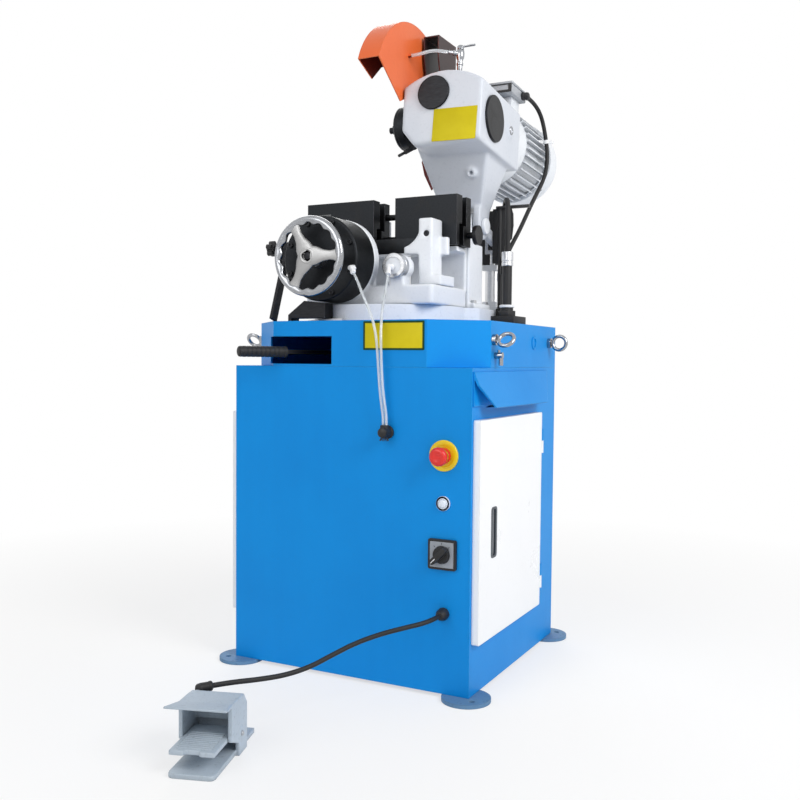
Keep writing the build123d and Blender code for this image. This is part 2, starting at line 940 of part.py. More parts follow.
def make_switch_body():
    # Push-button bezel and cam switch, each with its barrel behind the panel
    bezel = rod_y(button_radius, front - button_rim, front, panel_x, button_z)
    bezel += rod_y(control_hole, front, front + button_barrel, panel_x, button_z)
    bezel -= rod_y(button_cap_radius + running, front - button_rim - past, front + button_barrel - button_travel,
                   panel_x, button_z)
    half = switch_size / 2
    width, deep, height = switch_drum
    plate = block(panel_x - half, panel_x + half, front - switch_plate, front, switch_z - half, switch_z + half)
    cam = fillet(plate.edges().filter_by(Axis.Y), switch_corner)
    cam += rod_y(control_hole, front, front + barrel / 2, panel_x, switch_z)
    cam += block(panel_x - width / 2, panel_x + width / 2, front + barrel / 2, front + barrel / 2 + deep,
                 switch_z - height / 2, switch_z + height / 2)
    cam -= rod_y(switch_shaft_radius + running, front - switch_plate - past, front + switch_shaft_end + 2 * past,
                 panel_x, switch_z)
    return group(bezel, cam)


def make_switch_knob():
    face = front - switch_plate - slip
    width, deep, length = switch_grip
    hub = rod_y(switch_hub_radius, face - switch_hub, face, panel_x, switch_z)
    grip = fillet(Box(width, deep, length).edges().filter_by(Axis.Y), switch_corner)
    grip = Pos(panel_x, face - switch_hub / 2 - deep / 2, switch_z) * Rot(0, 45, 0) * grip
    return hub + grip + rod_y(switch_shaft_radius, face, front + switch_shaft_end, panel_x, switch_z)


def make_glands():
    # Pedal-cable gland, hose elbow, the two rear inlets and the hose fittings of the vise
    gland = rod_y(gland_nut_radius, front - gland_nut, front, gland_x, gland_z)
    gland += rod_y(gland_hole, front - gland_out, front + 2 * sheet, gland_x, gland_z)
    elbow = rod_y(grommet_hole, front - 2 * grommet_out, front + 2 * sheet, grommet_x, grommet_z)
    elbow += rod_z(grommet_mouth_radius, grommet_z, grommet_top, grommet_x, front - grommet_out)
    pieces = [gland, elbow]
    for x in (-inlet_x, inlet_x):
        inlet = Pos(x, half_depth, inlet_z) * Rot(-90, 0, 0) * hexagon_rod(inlet_across, inlet_nut)
        inlet += rod_y(gland_hole, half_depth - inlet_tail, half_depth, x, inlet_z)
        end = half_depth + inlet_nut + inlet_tail
        inlet += rod_y(inlet_tail_radius, half_depth + inlet_nut, end, x, inlet_z)
        pieces.append(inlet - rod_y(inlet_bore, half_depth - inlet_tail - past, end + past, x, inlet_z))
    x, z = left_port
    left = rod_y(left_port_radius, cylinder_front - left_port_out, cylinder_front, x, z)
    left += stub((x, cylinder_front - left_port_turn, z), left_hose_route[0], port_spout_radius)
    x, z = right_port
    right = rod_y(right_port_radius, booster_front - right_port_out, booster_front, x, z)
    right += stub((x, booster_front - right_port_turn, z), right_hose_route[0], port_spout_radius)
    return group(*pieces, left, right)


def make_electrical_gear():
    wall = half_depth - sheet
    face = wall - gear_plate
    pieces = [block(gear_left, gear_right, face, wall, gear_bottom, gear_bottom + gear_height)]
    inset = (gear_width - 3 * contactor_pitch - contactor_size) / 2
    for index in range(4):
        x = gear_left + inset + index * contactor_pitch
        pieces.append(block(x, x + contactor_size, face - gear_deep, face, contactor_bottom,
                            contactor_bottom + contactor_height))
    low = gear_bottom + inset
    x = gear_left + inset
    pieces.append(block(x, x + transformer_size, face - gear_deep, face, low, low + transformer_size))
    width, deep, height = terminal_strip
    x = gear_right - inset - width
    pieces.append(block(x, x + width, face - deep, face, low, low + height))
    return group(*pieces)


def make_coolant_tank():
    top = cabinet_floor + tank_height
    tank = block(tank_left, tank_right, tank_front, tank_rear, cabinet_floor, top)
    tank -= block(tank_left + sheet, tank_right - sheet, tank_front + sheet, tank_rear - sheet,
                  cabinet_floor + sheet, top + past)
    lid_front = 2 * pump_y - tank_rear
    lid = block(tank_left, tank_right, lid_front, tank_rear, top, top + tank_lid)
    return tank + lid - rod_z(pump_dip_radius + slip, top - past, top + tank_lid + past, pump_x, pump_y)


def make_coolant_pump():
    base = cabinet_floor + tank_height + tank_lid
    pump = rod_z(pump_flange_radius, base, base + pump_flange, pump_x, pump_y)
    pump += rod_z(pump_radius, base + pump_flange, base + pump_height, pump_x, pump_y)
    pump += rod_z(pump_dip_radius, cabinet_floor + pump_dip_clear, base, pump_x, pump_y)
    return pump + rod_x(pump_spout_radius, pump_x, pump_x + pump_spout_reach, pump_y, base + pump_spout_z)


# Tray

def tray_outline(inset, z0, z1):
    x = half_width - inset
    y = half_depth - inset
    drop = inset * (math.sqrt(2) - 1)
    corners = [(x - tray_cut_x + drop, -y), (x, -y + tray_cut_y - drop), (x, y)]
    mirrored = [(-px, py) for px, py in reversed(corners)]
    return plan_prism(corners + mirrored, z0, z1)


def make_tray():
    under = tray_floor - tray_sheet
    tray = tray_outline(0, cabinet_top, tray_top)
    tray -= tray_outline(tray_sheet, tray_floor, tray_top + past)
    tray -= tray_outline(tray_sheet, cabinet_top - past, under)
    tray -= block(lever_slot_left, lever_slot_right, front - past, front + tray_cut_y / 2,
                  lever_slot_bottom, lever_slot_top)
    tray -= rod_z(stud_radius, under - past, tray_floor + past, swivel_x, swivel_y)
    return tray - rod_z(chip_hole_radius, under - past, tray_floor + past, chip_hole_x, chip_hole_y)


def on_tray_side(side, y, z):
    # Place on a side face of the tray, its own X axis pointing outwards
    return Pos(side * half_width, y, z) * Rot(0, 0, 90 - side * 90)


def make_tray_fittings():
    # Four eye bolts on the sides, and the drain tap on the right side
    pieces = []
    for side in (-1, 1):
        for y, turn in ((eye_front_y, eye_front_turn), (eye_rear_y, eye_rear_turn)):
            collar = rod_x(eye_collar_radius, 0, eye_collar, 0, 0)
            ring = Pos(eye_collar + eye_radius + eye_wire - past, 0, 0) * Torus(eye_radius, eye_wire)
            pieces.append(on_tray_side(side, y, eye_z) * Rot(turn, 0, 0) * (collar + ring))
    tap = rod_x(drain_body_radius, 0, drain_body, 0, 0)
    tap += rod_z(drain_spout_radius, -drain_spout, 0, drain_body - drain_spout_radius + past, 0)
    tap += rod_z(drain_key_radius, 0, drain_key, drain_body / 2, 0)
    pieces.append(on_tray_side(1, drain_y, drain_z) * tap)
    return group(*pieces)


def make_angle_scale():
    height = scale_top - tray_floor
    ring = Cylinder(scale_outer, height) - Cylinder(scale_inner, height + past)
    reach = 2 * scale_outer
    wedge = [(0, 0)]
    for angle in (scale_first, (scale_first + scale_last) / 2, scale_last):
        a = math.radians(angle)
        wedge.append((reach * math.cos(a), reach * math.sin(a)))
    sector = at_swivel(Pos(0, 0, (scale_top + tray_floor) / 2) * ring)
    return sector & at_swivel(plan_prism(wedge, tray_floor, scale_top))


def make_deflector():
    # Sloped chip block in front of the turntable, on a leg that stands on the tray floor
    end = deflector_left + deflector_reach
    low = scale_top + deflector_thick / 4
    profile = [(deflector_left, tray_floor), (deflector_left + deflector_thick, tray_floor),
               (deflector_left + deflector_thick, low), (end, low), (end, deflector_top),
               (deflector_left + deflector_rise, deflector_peak), (deflector_left, low + deflector_thick)]
    return front_prism(profile, deflector_front, deflector_rear)


# Swivel

def make_centre_post():
    low = lever_z - lever_thickness / 2
    post = rod_z(post_radius, tray_floor, bed_bottom, swivel_x, swivel_y)
    post += rod_z(stud_radius, low - stud_head, tray_floor, swivel_x, swivel_y)
    return post + rod_z(stud_washer, low - stud_head, low - slip, swivel_x, swivel_y)


def make_lock_lever():
    shank = lever_length - grip_length
    low = lever_z - lever_thickness / 2
    high = low + lever_thickness
    along = Pos(swivel_x, swivel_y, lever_z) * Rot(0, 0, lever_angle)
    grip = rod_x(grip_radius, shank, lever_length, 0, 0)
    grip = fillet(grip.edges().filter_by(GeomType.CIRCLE), grip_round)
    bar = block(0, shank, -lever_width / 2, lever_width / 2, -lever_bar / 2, lever_bar / 2)
    lever = rod_z(lever_hub_radius, low, high, swivel_x, swivel_y) + along * (bar + grip)
    return lever - rod_z(stud_radius + running, low - past, high + past, swivel_x, swivel_y)


def make_turntable():
    disc = rod_z(turntable_radius, tray_floor + slip, turntable_top, swivel_x, swivel_y)
    left = column_left - column_foot_out
    outline = [(left, column_front - plate_chamfer), (plate_right - plate_chamfer, plate_front),
               (plate_right, column_front), (plate_right, plate_rear),
               (left + plate_chamfer, plate_rear), (left, plate_rear - plate_chamfer)]
    plate = plan_prism(outline, plate_bottom, turntable_top)
    plate = fillet(plate.edges().filter_by(Axis.Z), plate_corner)
    ledge = block(plate_right - plate_corner, ledge_right, ledge_front, ledge_rear, plate_bottom, ledge_top)
    table = disc + plate + ledge
    return table - rod_z(post_radius + running, tray_floor - past, turntable_top + past, swivel_x, swivel_y)


def make_column():
    deep, drop = column_slope
    profile = [(column_front, turntable_top), (column_rear, turntable_top), (column_rear, column_shoulder),
               (column_front + deep, column_shoulder), (column_front, column_shoulder - drop)]
    body = side_prism(profile, column_left, column_right)
    body = fillet(body.edges().filter_by(Axis.Z), column_corner)
    left = column_left + ear_width + slip
    right = column_right - ear_width - slip
    upright = [(pivot_y - boss_radius - deep, column_shoulder - past), (column_rear, column_shoulder - past),
               (pivot_y + boss_radius, pivot_z), (pivot_y - boss_radius, pivot_z)]
    column = body + side_prism(upright, left, right) + rod_x(boss_radius, left, right, pivot_y, pivot_z)
    column += block(column_left - column_foot_out, column_right + column_foot_out, column_front + column_corner,
                    column_rear + column_foot_out, turntable_top, turntable_top + column_foot)
    return column - rod_x(pivot_radius + running, left - past, right + past, pivot_y, pivot_z)


def make_feed_cylinder():
    barrel = block(feed_x - feed_foot_half, feed_x + feed_foot_half, feed_y - feed_foot_half,
                   feed_y + feed_foot_half, turntable_top, turntable_top + feed_foot)
    barrel += rod_z(feed_radius, turntable_top, feed_top, feed_x, feed_y)
    for z in (turntable_top + feed_foot, feed_top - feed_cap):
        cap = block(feed_x - feed_cap_half, feed_x + feed_cap_half, feed_y - feed_cap_half, feed_y + feed_cap_half,
                    z, z + feed_cap)
        barrel += fillet(cap.edges().filter_by(Axis.Z), feed_cap_corner)
    barrel += block(feed_x, arch_end_x + arch_block, arch_end_y - arch_block, arch_end_y + arch_block,
                    arch_end_z - arch_block_height, arch_end_z)
    bottom = turntable_top + feed_foot + feed_bottom_wall
    return barrel - rod_z(feed_rod_radius + running, bottom, feed_top + past, feed_x, feed_y)


def make_feed_rod():
    gap = ear_width / 2 + slip
    outer = gap + fork_cheek
    base = feed_pin_z - fork_root
    rod = rod_z(feed_rod_radius, feed_top - feed_stroke - feed_rod_tail, base, feed_x, feed_y)
    top = feed_pin_z + fork_top
    fork = block(feed_x - outer, feed_x + outer, feed_y - fork_half, feed_y + fork_half, base, top)
    fork -= block(feed_x - gap, feed_x + gap, feed_y - fork_half - past, feed_y + fork_half + past,
                  feed_pin_z - fork_slot, top + past)
    return rod + fork + rod_x(feed_pin_radius, feed_x - outer, feed_x + outer, feed_y, feed_pin_z)


def make_conduits():
    # Conduit with its nut and ferrule, the cable's riser, and the post with the bar under the arched hose
    nut_top = ledge_top + conduit_nut
    collar_top = nut_top + conduit_collar
    nut = Pos(conduit_x, conduit_y, ledge_top) * hexagon_rod(conduit_across, conduit_nut)
    nut += rod_z(conduit_collar_radius, nut_top, collar_top, conduit_x, conduit_y)
    nut += rod_z(conduit_radius, collar_top, ferrule_bottom, conduit_x, conduit_y)
    ferrule = rod_z(ferrule_radius, ferrule_bottom, ferrule_top, conduit_x, conduit_y)
    riser = rod_z(riser_radius, ledge_top, riser_top, riser_x, riser_y)
    riser += rod_z(riser_gland_radius, riser_top - riser_gland, riser_top, riser_x, riser_y)
    rest = rod_z(rest_post_radius, turntable_top, rest_top - rest_thick, rest_post_x, rest_post_y)
    rest += block(rest_left, rest_right, rest_post_y - rest_half, rest_post_y + rest_half,
                  rest_top - rest_thick, rest_top)
    return group(nut, ferrule, riser, rest)


# Head, in its level frame

def gearbox():
    # The crown is one arc between the two shoulders
    low = head_bottom
    cut_x, cut_z = head_cut
    line = Polyline((head_left, head_shoulder), (head_left, low + cut_z), (head_left + cut_x, low),
                    (head_right, low), (head_right, head_shoulder))
    crown = ThreePointArc((head_right, head_shoulder), ((head_left + head_right) / 2, head_crown),
                          (head_left, head_shoulder))
    outline = make_face(line + crown)
    return extrude(front_plane(head_rear) * outline, amount=head_rear - head_front)


def make_head_casting():
    box = gearbox()
    nose = box.edges().group_by(Axis.Y)[0].sort_by(Axis.Z)[0]
    casting = fillet(nose, nose_round)
    width = head_right - head_left - 2 * neck_inset
    top = Pos((head_left + head_right) / 2, neck_top_y, neck_top) * Rectangle(width, neck_top_deep)
    low = Pos((column_left + column_right) / 2, neck_low_y, neck_bottom) * Rectangle(column_right - column_left,
                                                                                    neck_low_deep)
    casting += loft([low, top], ruled=True)
    ears = block(column_left, column_right, -boss_radius, boss_radius, 0, neck_bottom)
    ears += rod_x(boss_radius, column_left, column_right, 0, 0)
    clear = boss_radius + slip
    ears -= block(column_left + ear_width, column_right - ear_width, -2 * clear, 2 * clear, -2 * clear, neck_bottom)
    casting += ears
    casting += feed_arm()
    casting += leaned(rod_y(motor_radius + motor_fin, seat_front, motor_seat, worm_x, motor_z))
    casting -= gear_space()
    casting -= rod_z(tap_pocket, tap_base, head_crown + past, tap_x, tap_y)
    return casting - rod_x(pivot_radius, column_left - past, column_right + past, 0, 0)


def feed_arm():
    # Flat arm behind the right ear; its slot points at the pivot
    far = feed_reach / math.cos(math.radians(feed_low))
    slot_half = feed_pin_radius + feed_slot_room
    inner = column_right - ear_width
    arm = block(inner, column_right, ear_width / 2, far + slot_half + feed_arm_end, -feed_arm_half, feed_arm_half)
    slot = block(inner - past, column_right + past, feed_reach - past, far + past, -slot_half, slot_half)
    for y in (feed_reach - past, far + past):
        slot += rod_x(slot_half, inner - past, column_right + past, y, 0)
    return Rot(feed_low + head_tilt, 0, 0) * (arm - slot)


def gear_space():
    # Room for the wheel and worm, the worm's bearing way, the spur gears, the bearing seats and the spindle's way
    room = wheel_radius + wheel_room
    half = wheel_width / 2 + wheel_room
    space = block(worm_x - half, worm_x + half, spindle_y - room, spindle_y + room, spindle_z - room, worm_z)
    worm_way = rod_y(worm_bore, head_front - worm_bore, spindle_y + room, worm_x, worm_z)
    worm_way += rod_y(drive_shaft_radius + running, spindle_y, spur_front, worm_x, worm_z)
    chamber = spur_front - spur_room
    for radius, z in ((spur_gear_radius, worm_z), (spur_pinion_radius, motor_z)):
        worm_way += rod_y(radius + spur_room, chamber, motor_seat + past, worm_x, z)
    space += leaned(worm_way)
    space += rod_x(bearing_radius, head_left - past, left_bearing_x + bearing_width, spindle_y, spindle_z)
    space += rod_x(bearing_radius, right_bearing_x, head_right + past, spindle_y, spindle_z)
    return space + rod_x(spindle_way, head_left, head_right, spindle_y, spindle_z)


def make_head_covers():
    face = head_front - cover_thickness
    worm_cover = rod_y(front_cover_radius, face, head_front, front_cover_x, front_cover_z)
    worm_cover = fillet(worm_cover.edges().group_by(Axis.Y)[0], cover_round)
    spigot_front = head_front + worm_distance * math.sin(math.radians(drive_lean))
    worm_cover += leaned(rod_y(worm_bore, spigot_front, spigot_front + cover_spigot, worm_x, worm_z))
    spindle_cover = rod_x(side_cover_radius, head_right, head_right + cover_thickness, spindle_y, spindle_z)
    spindle_cover = fillet(spindle_cover.edges().group_by(Axis.X)[-1], cover_round)
    spindle_cover += rod_x(bearing_radius, head_right - cover_spigot, head_right, spindle_y, spindle_z)
    return group(tipped(worm_cover), tipped(spindle_cover))


def make_pivot_pin():
    left = column_left - pivot_nut
    pin = rod_x(pivot_radius, left, column_right, 0, 0)
    cap = rod_x(pivot_cap_radius, column_right, column_right + pivot_cap, 0, 0)
    pin += fillet(cap.edges().group_by(Axis.X)[-1], pivot_cap / 3)
    return pin + Pos(left, 0, 0) * Rot(0, 90, 0) * hexagon_rod(pivot_nut_across, pivot_nut)


def make_bearings():
    rings = []
    for x in (left_bearing_x, right_bearing_x):
        end = x + bearing_width
        ring = rod_x(bearing_radius, x, end, spindle_y, spindle_z)
        rings.append(tipped(ring - rod_x(spindle_radius + running, x - past, end + past, spindle_y, spindle_z)))
    return group(*rings)


def make_spindle():
    end = right_bearing_x + bearing_width + wheel_room / 2
    shaft = rod_x(spindle_radius, flange_back_x, end, spindle_y, spindle_z)
    return shaft + rod_x(arbor_radius, flange_face_x, flange_back_x, spindle_y, spindle_z)


def make_flanges():
    # Inner and outer clamp flange, with the bolt and its washer outside
    way = rod_x(arbor_radius, flange_face_x - past, flange_back_x + past, spindle_y, spindle_z)
    inner = rod_x(flange_radius, blade_plane_x, flange_back_x, spindle_y, spindle_z) - way
    outer = rod_x(flange_radius, flange_face_x, blade_plane_x, spindle_y, spindle_z)
    outer = chamfer(outer.edges().group_by(Axis.X)[0], flange_bevel) - way
    head_x = flange_face_x - clamp_washer - clamp_head
    bolt = rod_x(clamp_washer_radius, flange_face_x - clamp_washer, flange_face_x, spindle_y, spindle_z)
    bolt += Pos(head_x, spindle_y, spindle_z) * Rot(0, 90, 0) * hexagon_rod(clamp_across, clamp_head)
    bolt += rod_x(clamp_stem_radius, head_x - clamp_stem, head_x, spindle_y, spindle_z)
    return group(tipped(inner), tipped(outer), tipped(bolt))


def make_worm_wheel():
    half = wheel_width / 2
    gash_width, gash_deep = wheel_gash
    wheel = rod_x(wheel_radius, worm_x - half, worm_x + half, spindle_y, spindle_z)
    gashes = []
    for index in range(wheel_teeth):
        turn = Pos(worm_x, spindle_y, spindle_z) * Rot(index * 360 / wheel_teeth, 0, 0) * Pos(0, 0, wheel_radius)
        gashes.append(turn * Rot(0, 0, wheel_helix) * Box(2 * wheel_width, gash_width, gash_deep))
    wheel -= gashes
    return wheel - rod_x(spindle_radius, worm_x - wheel_width, worm_x + wheel_width, spindle_y, spindle_z)


def spur_wheel(radius, teeth, z):
    gash_width, gash_deep = spur_gash
    length = spur_rear - spur_front
    wheel = rod_y(radius, spur_front, spur_rear, worm_x, z)
    gashes = []
    for index in range(teeth):
        turn = Pos(worm_x, (spur_front + spur_rear) / 2, z) * Rot(0, index * 360 / teeth, 0) * Pos(radius, 0, 0)
        gashes.append(turn * Box(gash_deep, 2 * length, gash_width))
    return wheel - gashes


def make_worm_shaft():
    # Worm and its driven spur gear on one shaft
    groove_width, groove_deep = worm_groove
    shaft = rod_y(drive_shaft_radius, worm_front, spur_rear, worm_x, worm_z)
    shaft += rod_y(worm_radius, spindle_y - worm_half, spindle_y + worm_half, worm_x, worm_z)
    for index in range(worm_grooves):
        y = spindle_y + (index - (worm_grooves - 1) / 2) * worm_pitch
        groove = rod_y(worm_radius + past, y - groove_width / 2, y + groove_width / 2, worm_x, worm_z)
        shaft -= groove - rod_y(worm_radius - groove_deep, y - groove_width, y + groove_width, worm_x, worm_z)
    return tipped(leaned(shaft + spur_wheel(spur_gear_radius, spur_gear_teeth, worm_z)))


def make_motor_rotor():
    # Motor shaft with its pinion and rotor, and the cooling fan on its tail
    fan_end = fan_start + fan_width
    shaft = rod_y(drive_shaft_radius, spur_front, fan_end + fan_sheet, worm_x, motor_z)
    shaft += spur_wheel(spur_pinion_radius, spur_pinion_teeth, motor_z)
    shaft += rod_y(rotor_space - rotor_gap, motor_start + rotor_front_wall + rotor_side,
                   motor_end - rotor_rear_wall - rotor_side, worm_x, motor_z)
    fan = rod_y(fan_hub_radius, fan_start, fan_end, worm_x, motor_z)
    fan += rod_y(fan_radius, fan_start, fan_start + fan_sheet, worm_x, motor_z)
    inner = fan_hub_radius - fan_sheet
    outer = fan_radius - fan_sheet
    for index in range(fan_blades):
        turn = Pos(worm_x, fan_start, motor_z) * Rot(0, index * 360 / fan_blades, 0)
        fan += turn * block(inner, outer, fan_sheet / 2, fan_width - past, -fan_sheet / 2, fan_sheet / 2)
    fan -= rod_y(drive_shaft_radius, fan_start - past, fan_end + past, worm_x, motor_z)
    return group(tipped(leaned(shaft)), tipped(leaned(fan)))


def make_motor():
    motor = rod_y(motor_radius, motor_seat, motor_end, worm_x, motor_z)
    motor += rod_y(motor_radius + motor_fin, motor_seat, motor_start, worm_x, motor_z)
    motor += rod_y(front_shield_radius, motor_start, fin_start, worm_x, motor_z)
    fins = []
    reach = motor_fin + fin_sink
    for index in range(fin_count):
        turn = Pos(worm_x, 0, motor_z) * Rot(0, (index + 0.5) * 360 / fin_count, 0)
        place = Pos(motor_radius + motor_fin - reach / 2, (fin_start + fin_end) / 2, 0)
        fins.append(turn * place * Box(reach, fin_length, fin_thickness))
    motor += fins
    motor += rod_y(rear_shield_radius, fin_end, motor_end, worm_x, motor_z)
    motor += block(box_left + box_pad_inset, box_right - box_pad_inset, box_pad_front, box_rear - box_pad_inset,
                   motor_z, box_bottom)
    motor -= rod_y(rotor_space, motor_start + rotor_front_wall, motor_end - rotor_rear_wall, worm_x, motor_z)
    return motor - rod_y(drive_shaft_radius + running, motor_seat - past, motor_end + past, worm_x, motor_z)


def make_fan_cover():
    end = motor_end + fan_cover_length
    start = motor_end - fan_cover_lap
    cover = rod_y(fan_cover_radius, start, end, worm_x, motor_z)
    cover = fillet(cover.edges().group_by(Axis.Y)[-1], fan_cover_round)
    inside = rod_y(fan_cover_radius - fan_cover_sheet, motor_end, end - fan_cover_sheet, worm_x, motor_z)
    cover -= fillet(inside.edges().group_by(Axis.Y)[-1], fan_cover_round - fan_cover_sheet)
    for row in range(-grille_rows, grille_rows + 1):
        z = motor_z + row * grille_pitch
        half = math.sqrt(grille_radius ** 2 - (row * grille_pitch) ** 2)
        cover -= block(worm_x - half, worm_x + half, end - 2 * fan_cover_sheet, end + past,
                       z - grille_slot / 2, z + grille_slot / 2)
    return cover - rod_y(rear_shield_radius, start - past, motor_end + past, worm_x, motor_z)


def make_terminal_box():
    box = block(box_left, box_right, box_front, box_rear, box_bottom, box_top)
    lid = block(box_left - box_lid_out, box_right + box_lid_out, box_front - box_lid_out, box_rear + box_lid_out,
                box_top, box_top + box_lid)
    gland_end = box_right + cable_gland_out
    gland = rod_x(cable_gland_radius, box_right, gland_end, cable_gland_y, cable_gland_z)
    gland += rod_y(cable_gland_tail_radius, cable_gland_y, cable_gland_y + cable_gland_tail,
                   box_right + cable_gland_out / 2, cable_gland_z)
    return box + lid + gland


def make_tap():
    tap = rod_z(tap_foot_radius, tap_base, tap_base + tap_foot, tap_x, tap_y)
    tap += rod_z(tap_stem_radius, tap_base, tap_top, tap_x, tap_y)
    tap += rod_z(tap_body_radius, tap_body_z - tap_foot, tap_top, tap_x, tap_y)
    barb = rod_x(barb_radius, -barb_reach, 0, 0, 0) + rod_x(barb_collar_radius, -barb_collar, 0, 0, 0)
    tap += Pos(tap_x, tap_y, tap_body_z) * Rot(0, 0, barb_turn) * barb
    return tap + rod_z(tap_key_radius, tap_top, tap_top + tap_key, tap_x, tap_y)


def make_tap_lever():
    top = tap_top + 2 * tap_lever_thick
    hub = rod_z(tap_lever_hub, tap_top + slip, top, tap_x, tap_y)
    hub += block(tap_x, tap_x + tap_lever_reach, tap_y - tap_lever_width / 2, tap_y + tap_lever_width / 2,
                 top - tap_lever_thick, top)
    return hub - rod_z(tap_key_radius + running, tap_top - past, tap_top + tap_key + slip, tap_x, tap_y)


def make_guard_bracket():
    # Folded sheet on the crown, with the guard's pivot bolt on its left cheek
    deep, drop = bracket_slope
    bracket = block(bracket_left, bracket_right, bracket_front, bracket_rear, bracket_foot, bracket_top)
    bracket -= block(bracket_left + sheet, bracket_right - sheet, bracket_front - past, bracket_rear + past,
                     bracket_foot - past, bracket_top - sheet)
    slope = [(bracket_front - past, bracket_foot - past), (bracket_front - past, bracket_top - drop),
             (bracket_front + deep, bracket_foot - past)]
    bracket -= side_prism(slope, bracket_left - past, bracket_right + past)
    bracket -= tipped(gearbox())
    outside = guard_inner_x - guard_sheet - slip
    inside = guard_inner_x + slip
    bolt = rod_x(guard_pin_radius, outside, bracket_left + sheet, guard_hinge_y, guard_hinge_z)
    bolt += rod_x(guard_bolt_head, outside - guard_bolt_end, outside, guard_hinge_y, guard_hinge_z)
    bolt += rod_x(guard_bolt_head, inside, bracket_left, guard_hinge_y, guard_hinge_z)
    return bracket + bolt


def guard_point(angle, radius):
    a = math.radians(angle)
    return guard_centre_y + radius * math.cos(a), guard_centre_z + radius * math.sin(a)


def guard_arc(radius):
    middle = (guard_front_angle + guard_rear_angle) / 2
    return [guard_point(angle, radius) for angle in (guard_front_angle, middle, guard_rear_angle)]


def guard_face(arc, lower_edge):
    line = Polyline(arc[2], *lower_edge, arc[0])
    return make_face(line + ThreePointArc(*arc))


def from_guard_centre(points):
    return [(guard_centre_y + y, guard_centre_z + z) for y, z in points]


def make_guard():
    outer_arc = guard_arc(guard_radius)
    inner_arc = guard_arc(guard_radius - guard_sheet)
    right_edge = from_guard_centre([(64, 12), (4, 20), (-45, 14), (-77, -1)])
    left_edge = from_guard_centre([(85, 117), (5, 114), (-75, 87), (-121, 47)])
    right = extrude(side_plane(guard_inner_x - guard_sheet) * guard_face(outer_arc, right_edge), amount=guard_sheet)
    left = extrude(side_plane(guard_outer_x) * guard_face(outer_arc, left_edge), amount=guard_sheet)
    rim_edges = Polyline(outer_arc[2], inner_arc[2]) + Polyline(inner_arc[0], outer_arc[0])
    rim_face = make_face(ThreePointArc(*outer_arc) + ThreePointArc(*inner_arc) + rim_edges)
    guard = right + left + extrude(side_plane(guard_outer_x) * rim_face, amount=guard_inner_x - guard_outer_x)
    guard += rod_x(guard_port_radius, guard_inner_x - past, guard_port_x, guard_port_y, guard_port_z)
    return guard - rod_x(guard_pin_radius + running, guard_inner_x - guard_sheet - past, guard_inner_x + past,
                         guard_hinge_y, guard_hinge_z)


# Vise

def jaw_spans():
    return ((left_jaw_left, left_jaw_right), (right_jaw_left, right_jaw_right))


def make_bed():
    bed = block(bed_left, bed_right, bed_front, bed_rear, bed_bottom, bed_top)
    bed = fillet(bed.edges().filter_by(Axis.Z), bed_corner)
    root = bed_top - bed_sink
    bed += rod_y(cylinder_radius + cylinder_collar, cylinder_rear, cylinder_wall_rear, vise_x, vise_z)
    for x0, x1 in jaw_spans():
        right = min(x1, bed_right)
        bed += block(x0, right, jaw_back, bed_rear, root, rear_wall_top)
        bed += block(x0, right, rear_jaw_y - toe_deep - ledge_before_toe, bed_rear, jaw_bottom - ledge_thick,
                     jaw_bottom)
    bed += block(stop_lug_left, stop_lug_right, stop_y - stop_lug_half, stop_y + stop_lug_half,
                 bed_bottom + bed_corner, stop_z + stop_lug_above)
    foot_left = booster_x - booster_foot_half
    foot_right = booster_x + booster_foot_half
    bed += block(foot_left, foot_right, bed_front, booster_rear, root, booster_z)
    bed += rod_y(booster_radius, booster_front, booster_rear, booster_x, booster_z)
    bed -= rod_y(ram_radius + running, cylinder_rear - past, cylinder_wall_rear + past, vise_x, vise_z)
    return bed - rod_x(stop_rod_radius, stop_lug_left - past, stop_lug_right - stop_lug_wall, stop_y, stop_z)


def make_cylinder():
    body = rod_y(cylinder_radius, cylinder_front, cylinder_rear, vise_x, vise_z)
    body = fillet(body.edges().group_by(Axis.Y)[0], cylinder_round)
    body -= rod_y(cylinder_bore, cylinder_front + cylinder_end, cylinder_rear - cylinder_end / 2, vise_x, vise_z)
    return body - rod_y(ram_radius + running, cylinder_front - past, cylinder_rear + past, vise_x, vise_z)


def make_ram():
    ram = rod_y(ram_radius, ram_front, ram_rear, vise_x, vise_z)
    middle = (cylinder_front + cylinder_rear + cylinder_end / 2) / 2
    ram += rod_y(cylinder_bore - running, middle - piston_thick / 2, middle + piston_thick / 2, vise_x, vise_z)
    return ram - rod_y(screw_radius + running, ram_front - past, ram_rear + past, vise_x, vise_z)


def make_handwheel():
    # Rim, three spokes and hub, on the vise screw; the rim's seam is turned away from the spokes
    deep, wide = spoke_size
    seam_turn = 180 / spoke_count
    wheel = Rot(90, 0, seam_turn) * Torus(wheel_rim_radius, wheel_rim_wire)
    for index in range(spoke_count):
        spoke = Pos(wheel_rim_radius / 2, 0, 0) * Box(wheel_rim_radius, deep, wide)
        spoke = fillet(spoke.edges().filter_by(Axis.X), spoke_round)
        wheel += Rot(0, index * 360 / spoke_count, 0) * spoke
    wheel = Pos(vise_x, wheel_y, vise_z) * wheel
    hub = rod_y(wheel_hub_radius, wheel_y - wheel_hub_front, ram_front - slip, vise_x, vise_z)
    wheel += fillet(hub.edges().group_by(Axis.Y)[0], wheel_hub_round)
    screw_front = wheel_y - wheel_socket
    wheel -= rod_y(screw_radius, screw_front, screw_end, vise_x, vise_z)
    return group(wheel, rod_y(screw_radius, screw_front, screw_end, vise_x, vise_z))


